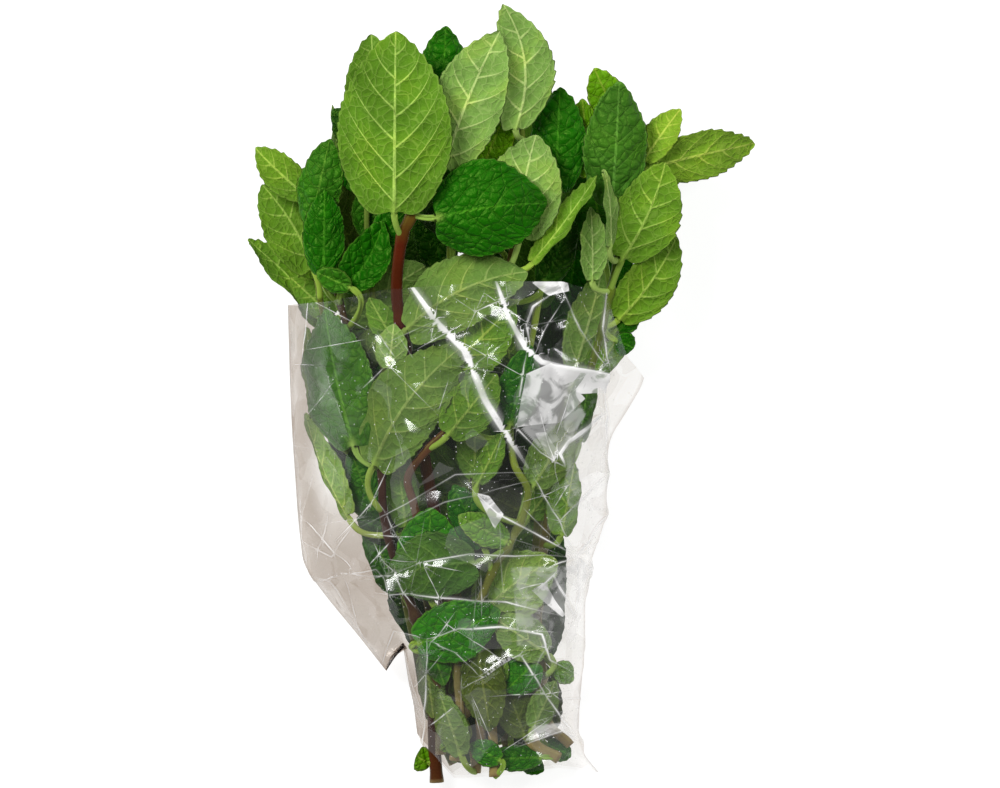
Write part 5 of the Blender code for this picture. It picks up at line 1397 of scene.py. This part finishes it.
# The folds of the table and faint ones at random: how far they lift the film, each by a rounded ridge, and
# for the nearest edge of a fold the distance to it, the whiteness of its painted highlight and half its
# width.
def filmFolds(X, Y):
    look = filmLook
    rng = random.Random(look["creaseSeed"])
    folds = list(creases)
    for k in range(look["randomCreases"]):
        cx, cy = rng.uniform(*look["creaseX"]), rng.uniform(*look["creaseY"])
        turn, long = rng.uniform(0, math.pi), rng.uniform(*look["creaseLength"])
        line = ((cx, cy), (cx + long * math.cos(turn), cy + long * math.sin(turn)))
        folds.append((line, rng.choice((-1, 1)) * rng.uniform(*look["creaseHeight"]),
                      rng.uniform(*look["creaseWidth"]), rng.choice(look["creaseHighlight"]),
                      rng.uniform(*look["creaseLine"])))
    lift, foldHighlight, fine = (np.zeros(Y.shape) for k in range(3))
    nearest = np.full(Y.shape, 9.0)
    for line, tall, width, white, thick in folds:
        signed, along = creaseField(X, Y, line)
        distance = np.abs(signed)
        lift += tall * np.clip(1 - distance / width, 0, 1) ** 1.4
        ends = np.sin(math.pi * np.clip(along, 0.02, 0.98)) ** 0.6
        # the painted highlight of the fold, tapered along it and fading within 4 mm of it
        taper = white * (0.7 + 0.3 * np.sin(17 * along + tall * 9)) * (1 - smoothStep(distance, 2.0, 4.0))
        closer = (distance < np.abs(nearest)) & (white > 0)
        foldHighlight = np.where(closer, taper * np.minimum(ends * 1.6, 1), foldHighlight)
        fine = np.where(closer, thick * (0.25 + 0.75 * ends), fine)
        nearest = np.where(closer, signed, nearest)
    return lift, nearest, foldHighlight, fine


# The painted glares, reflections of a bright wall: depth inside the nearest bright one, its whiteness, and
# the whiteness of the faint ones.
def filmGlares(X, Y):
    paintedGlare, soft = np.zeros(Y.shape), np.zeros(Y.shape)
    depth = np.full(Y.shape, -9.0)
    for corners, white in glares:
        inside = insideDepth(X, Y, corners)
        if white < filmLook["faint"]:
            soft += white * smoothStep(inside, -0.1, 0.4)
        else:
            paintedGlare = np.where(inside > depth, white, paintedGlare)
            depth = np.maximum(depth, inside)
    return depth, paintedGlare, soft


# The folded film and, for each point, its crease with the painted highlight of its edge, its painted glare
# and its painted shade, which the film's finish reads.
def filmSurface():
    P, S, flat, front = filmGrid()
    X, Y = P[..., 0], P[..., 1]
    facing = np.cross(np.gradient(P, axis=0), np.roll(P, -1, 1) - np.roll(P, 1, 1))
    facing /= np.maximum(np.linalg.norm(facing, axis=2, keepdims=True), 1e-9)
    lift, nearest, foldHighlight, fine = filmFolds(X, Y)
    depth, paintedGlare, soft = filmGlares(X, Y)
    # the edges of the front stay smooth and clear
    on = np.where(front, 1.0, 0.0) * smoothStep(1 - np.abs(S), 0.0, 0.02) * smoothStep(1 + flat, 0.0, 0.06)
    # painted shade: the film is greyer on the flap, on the narrow end's left and along its edges
    flap = smoothStep(-Y, 24, 60) * smoothStep(-X - 0.3 * (Y + 60), 38, 46)
    paintedShade = np.minimum(0.50 * smoothStep(-X, 62, 72) + 0.50 * flap, 0.5)
    paintedShade = paintedShade + 0.25 * smoothStep(-Y, 90, 100) * smoothStep(-X, 22, 27)
    paintedShade = paintedShade + 0.30 * smoothStep(np.abs(S), 0.97, 1.0)
    crease = np.stack([np.where(front, nearest, 9), foldHighlight * front, fine], -1)
    glare = np.stack([depth, 1.2 * paintedGlare * on, 1.2 * soft * on], -1)
    return P + facing * (np.clip(lift, -2.2, 2.4) * on)[..., None], crease, glare, paintedShade


studio = {
    "width": 0.36, "lens": 300.0, "height": 0.04,      # metres of the view's width, lens, level in focus
    "aimY": 0.0007, "sensor": 36.0,
    "world": 0.24, "floor": (0.3, 0.3, 0.3), "glow": 0.86, "floorHalf": 4.0, "floorLevel": -0.0004,
    "key": ((-0.55, 0.45, 0.95), 0.4, 0.65, 13.0),     # place, width, height, power
    "strip": ((0.75, 0.45, 0.85), 0.12, 0.9, 4.5),
}


def areaLight(name, place, width, height, power):
    light = bpy.data.lights.new(name, "AREA")
    light.shape, light.size, light.size_y, light.energy = "RECTANGLE", width, height, power
    lamp = bpy.data.objects.new(name, light)
    lamp.location = place
    lamp.rotation_euler = (-Vector(place)).to_track_quat("-Z", "Y").to_euler()
    bpy.context.scene.collection.objects.link(lamp)


def makeFloor():
    mesh = bpy.data.meshes.new("floor")
    half, level = studio["floorHalf"], studio["floorLevel"]
    corners = [(x * half, y * half, level) for x, y in ((-1, -1), (1, -1), (1, 1), (-1, 1))]
    mesh.from_pydata(corners, [], [(0, 1, 2, 3)])
    n = Nodes("paleFloor")
    mesh.materials.append(n.finish(n.add("BsdfPrincipled", {
        "Base Color": (*studio["floor"], 1), "Roughness": 0.9,
        "Emission Color": (1, 1, 1, 1), "Emission Strength": studio["glow"],
    })))
    floor = bpy.data.objects.new("floor", mesh)
    bpy.context.scene.collection.objects.link(floor)


def makeStudio():
    makeFloor()
    world = bpy.data.worlds.new("studio")
    world.use_nodes = True
    background = world.node_tree.nodes["Background"]
    background.inputs[0].default_value = (1, 1, 1, 1)
    background.inputs[1].default_value = studio["world"]
    scene = bpy.context.scene
    scene.world = world
    scene.view_settings.view_transform = "Standard"
    areaLight("key", *studio["key"])
    areaLight("strip", *studio["strip"])
    camera = bpy.data.cameras.new("camera")
    camera.lens, camera.sensor_width, camera.clip_end = studio["lens"], studio["sensor"], 20
    eye = bpy.data.objects.new("camera", camera)
    away = studio["width"] * studio["lens"] / studio["sensor"]
    eye.location = (0, studio["aimY"], studio["height"] + away)
    scene.collection.objects.link(eye)
    scene.camera = eye


def makeSprig(name, leaves, stem, finish, rng):
    sprig, look = sprigs[name], leafLook
    roots = [stalkRoot(leaf, stem) for leaf in leaves]
    path = smoothPath(sprig["stem"], stemLook["spacing"])
    parts = [stemSurface(path, sprig["radius"], sprig.get("bark", plainBark), roots, rng.uniform(0, 50))]
    for leaf in leaves:
        cell = look["cell"] if leaf.tone else look["fillCell"]
        if not leaf.tone:
            tones = lowTones if leaf.base[1] < look["lowEnd"] else fillTones
            leaf = leaf._replace(tone=rng.choice(tones), width=leaf.width * look["fillWidth"])
        parts.append(leafSurface(leaf, stem, cell, rng))
    piece = joinedPiece(name + "_plant", parts, finish)
    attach(piece, "root")
    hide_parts(name)
    print(name, len(leaves), "leaves", len(piece.data.polygons), "faces")


def makeSleeve():
    wall, crease, glare, paintedShade = filmSurface()
    a, b = ringEdges(*wall.shape[:2])
    count = wall.shape[1]
    quads = stacked(b, a, a + count, b + count)
    piece = meshFrom("sleeve_film", wall.reshape(-1, 3), quads, np.zeros((0, 3), int), clearFilmFinish(),
                     {"crease": crease, "glare": glare, "paintedShade": paintedShade})
    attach(piece, "root")
    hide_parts("sleeve")
    print("sleeve", len(piece.data.polygons), "faces")


def report(stage, bunch):
    print(stage, sum(map(len, bunch.placed.values())), "leaves,", round(time.time() - began, 1), "s")


began = time.time()
makeStudio()
stems = {name: smoothPath(sprig["stem"], placing["stemSpacing"]) for name, sprig in sprigs.items()}
bunch = grownBunch(stems)
report("filled", bunch)
littleRng = random.Random(littleForm["seed"])
closeGaps(bunch, littleRng)
report("gaps closed", bunch)
youngLeaves(bunch, littleRng, True)
youngLeaves(bunch, littleRng, False)
report("placed", bunch)
finish = mintLeafFinish()
lookRng = random.Random(leafLook["seed"])
for name in sprigs:
    makeSprig(name, bunch.placed[name], stems[name], finish, lookRng)
makeSleeve()
print("made", round(time.time() - began, 1), "s")
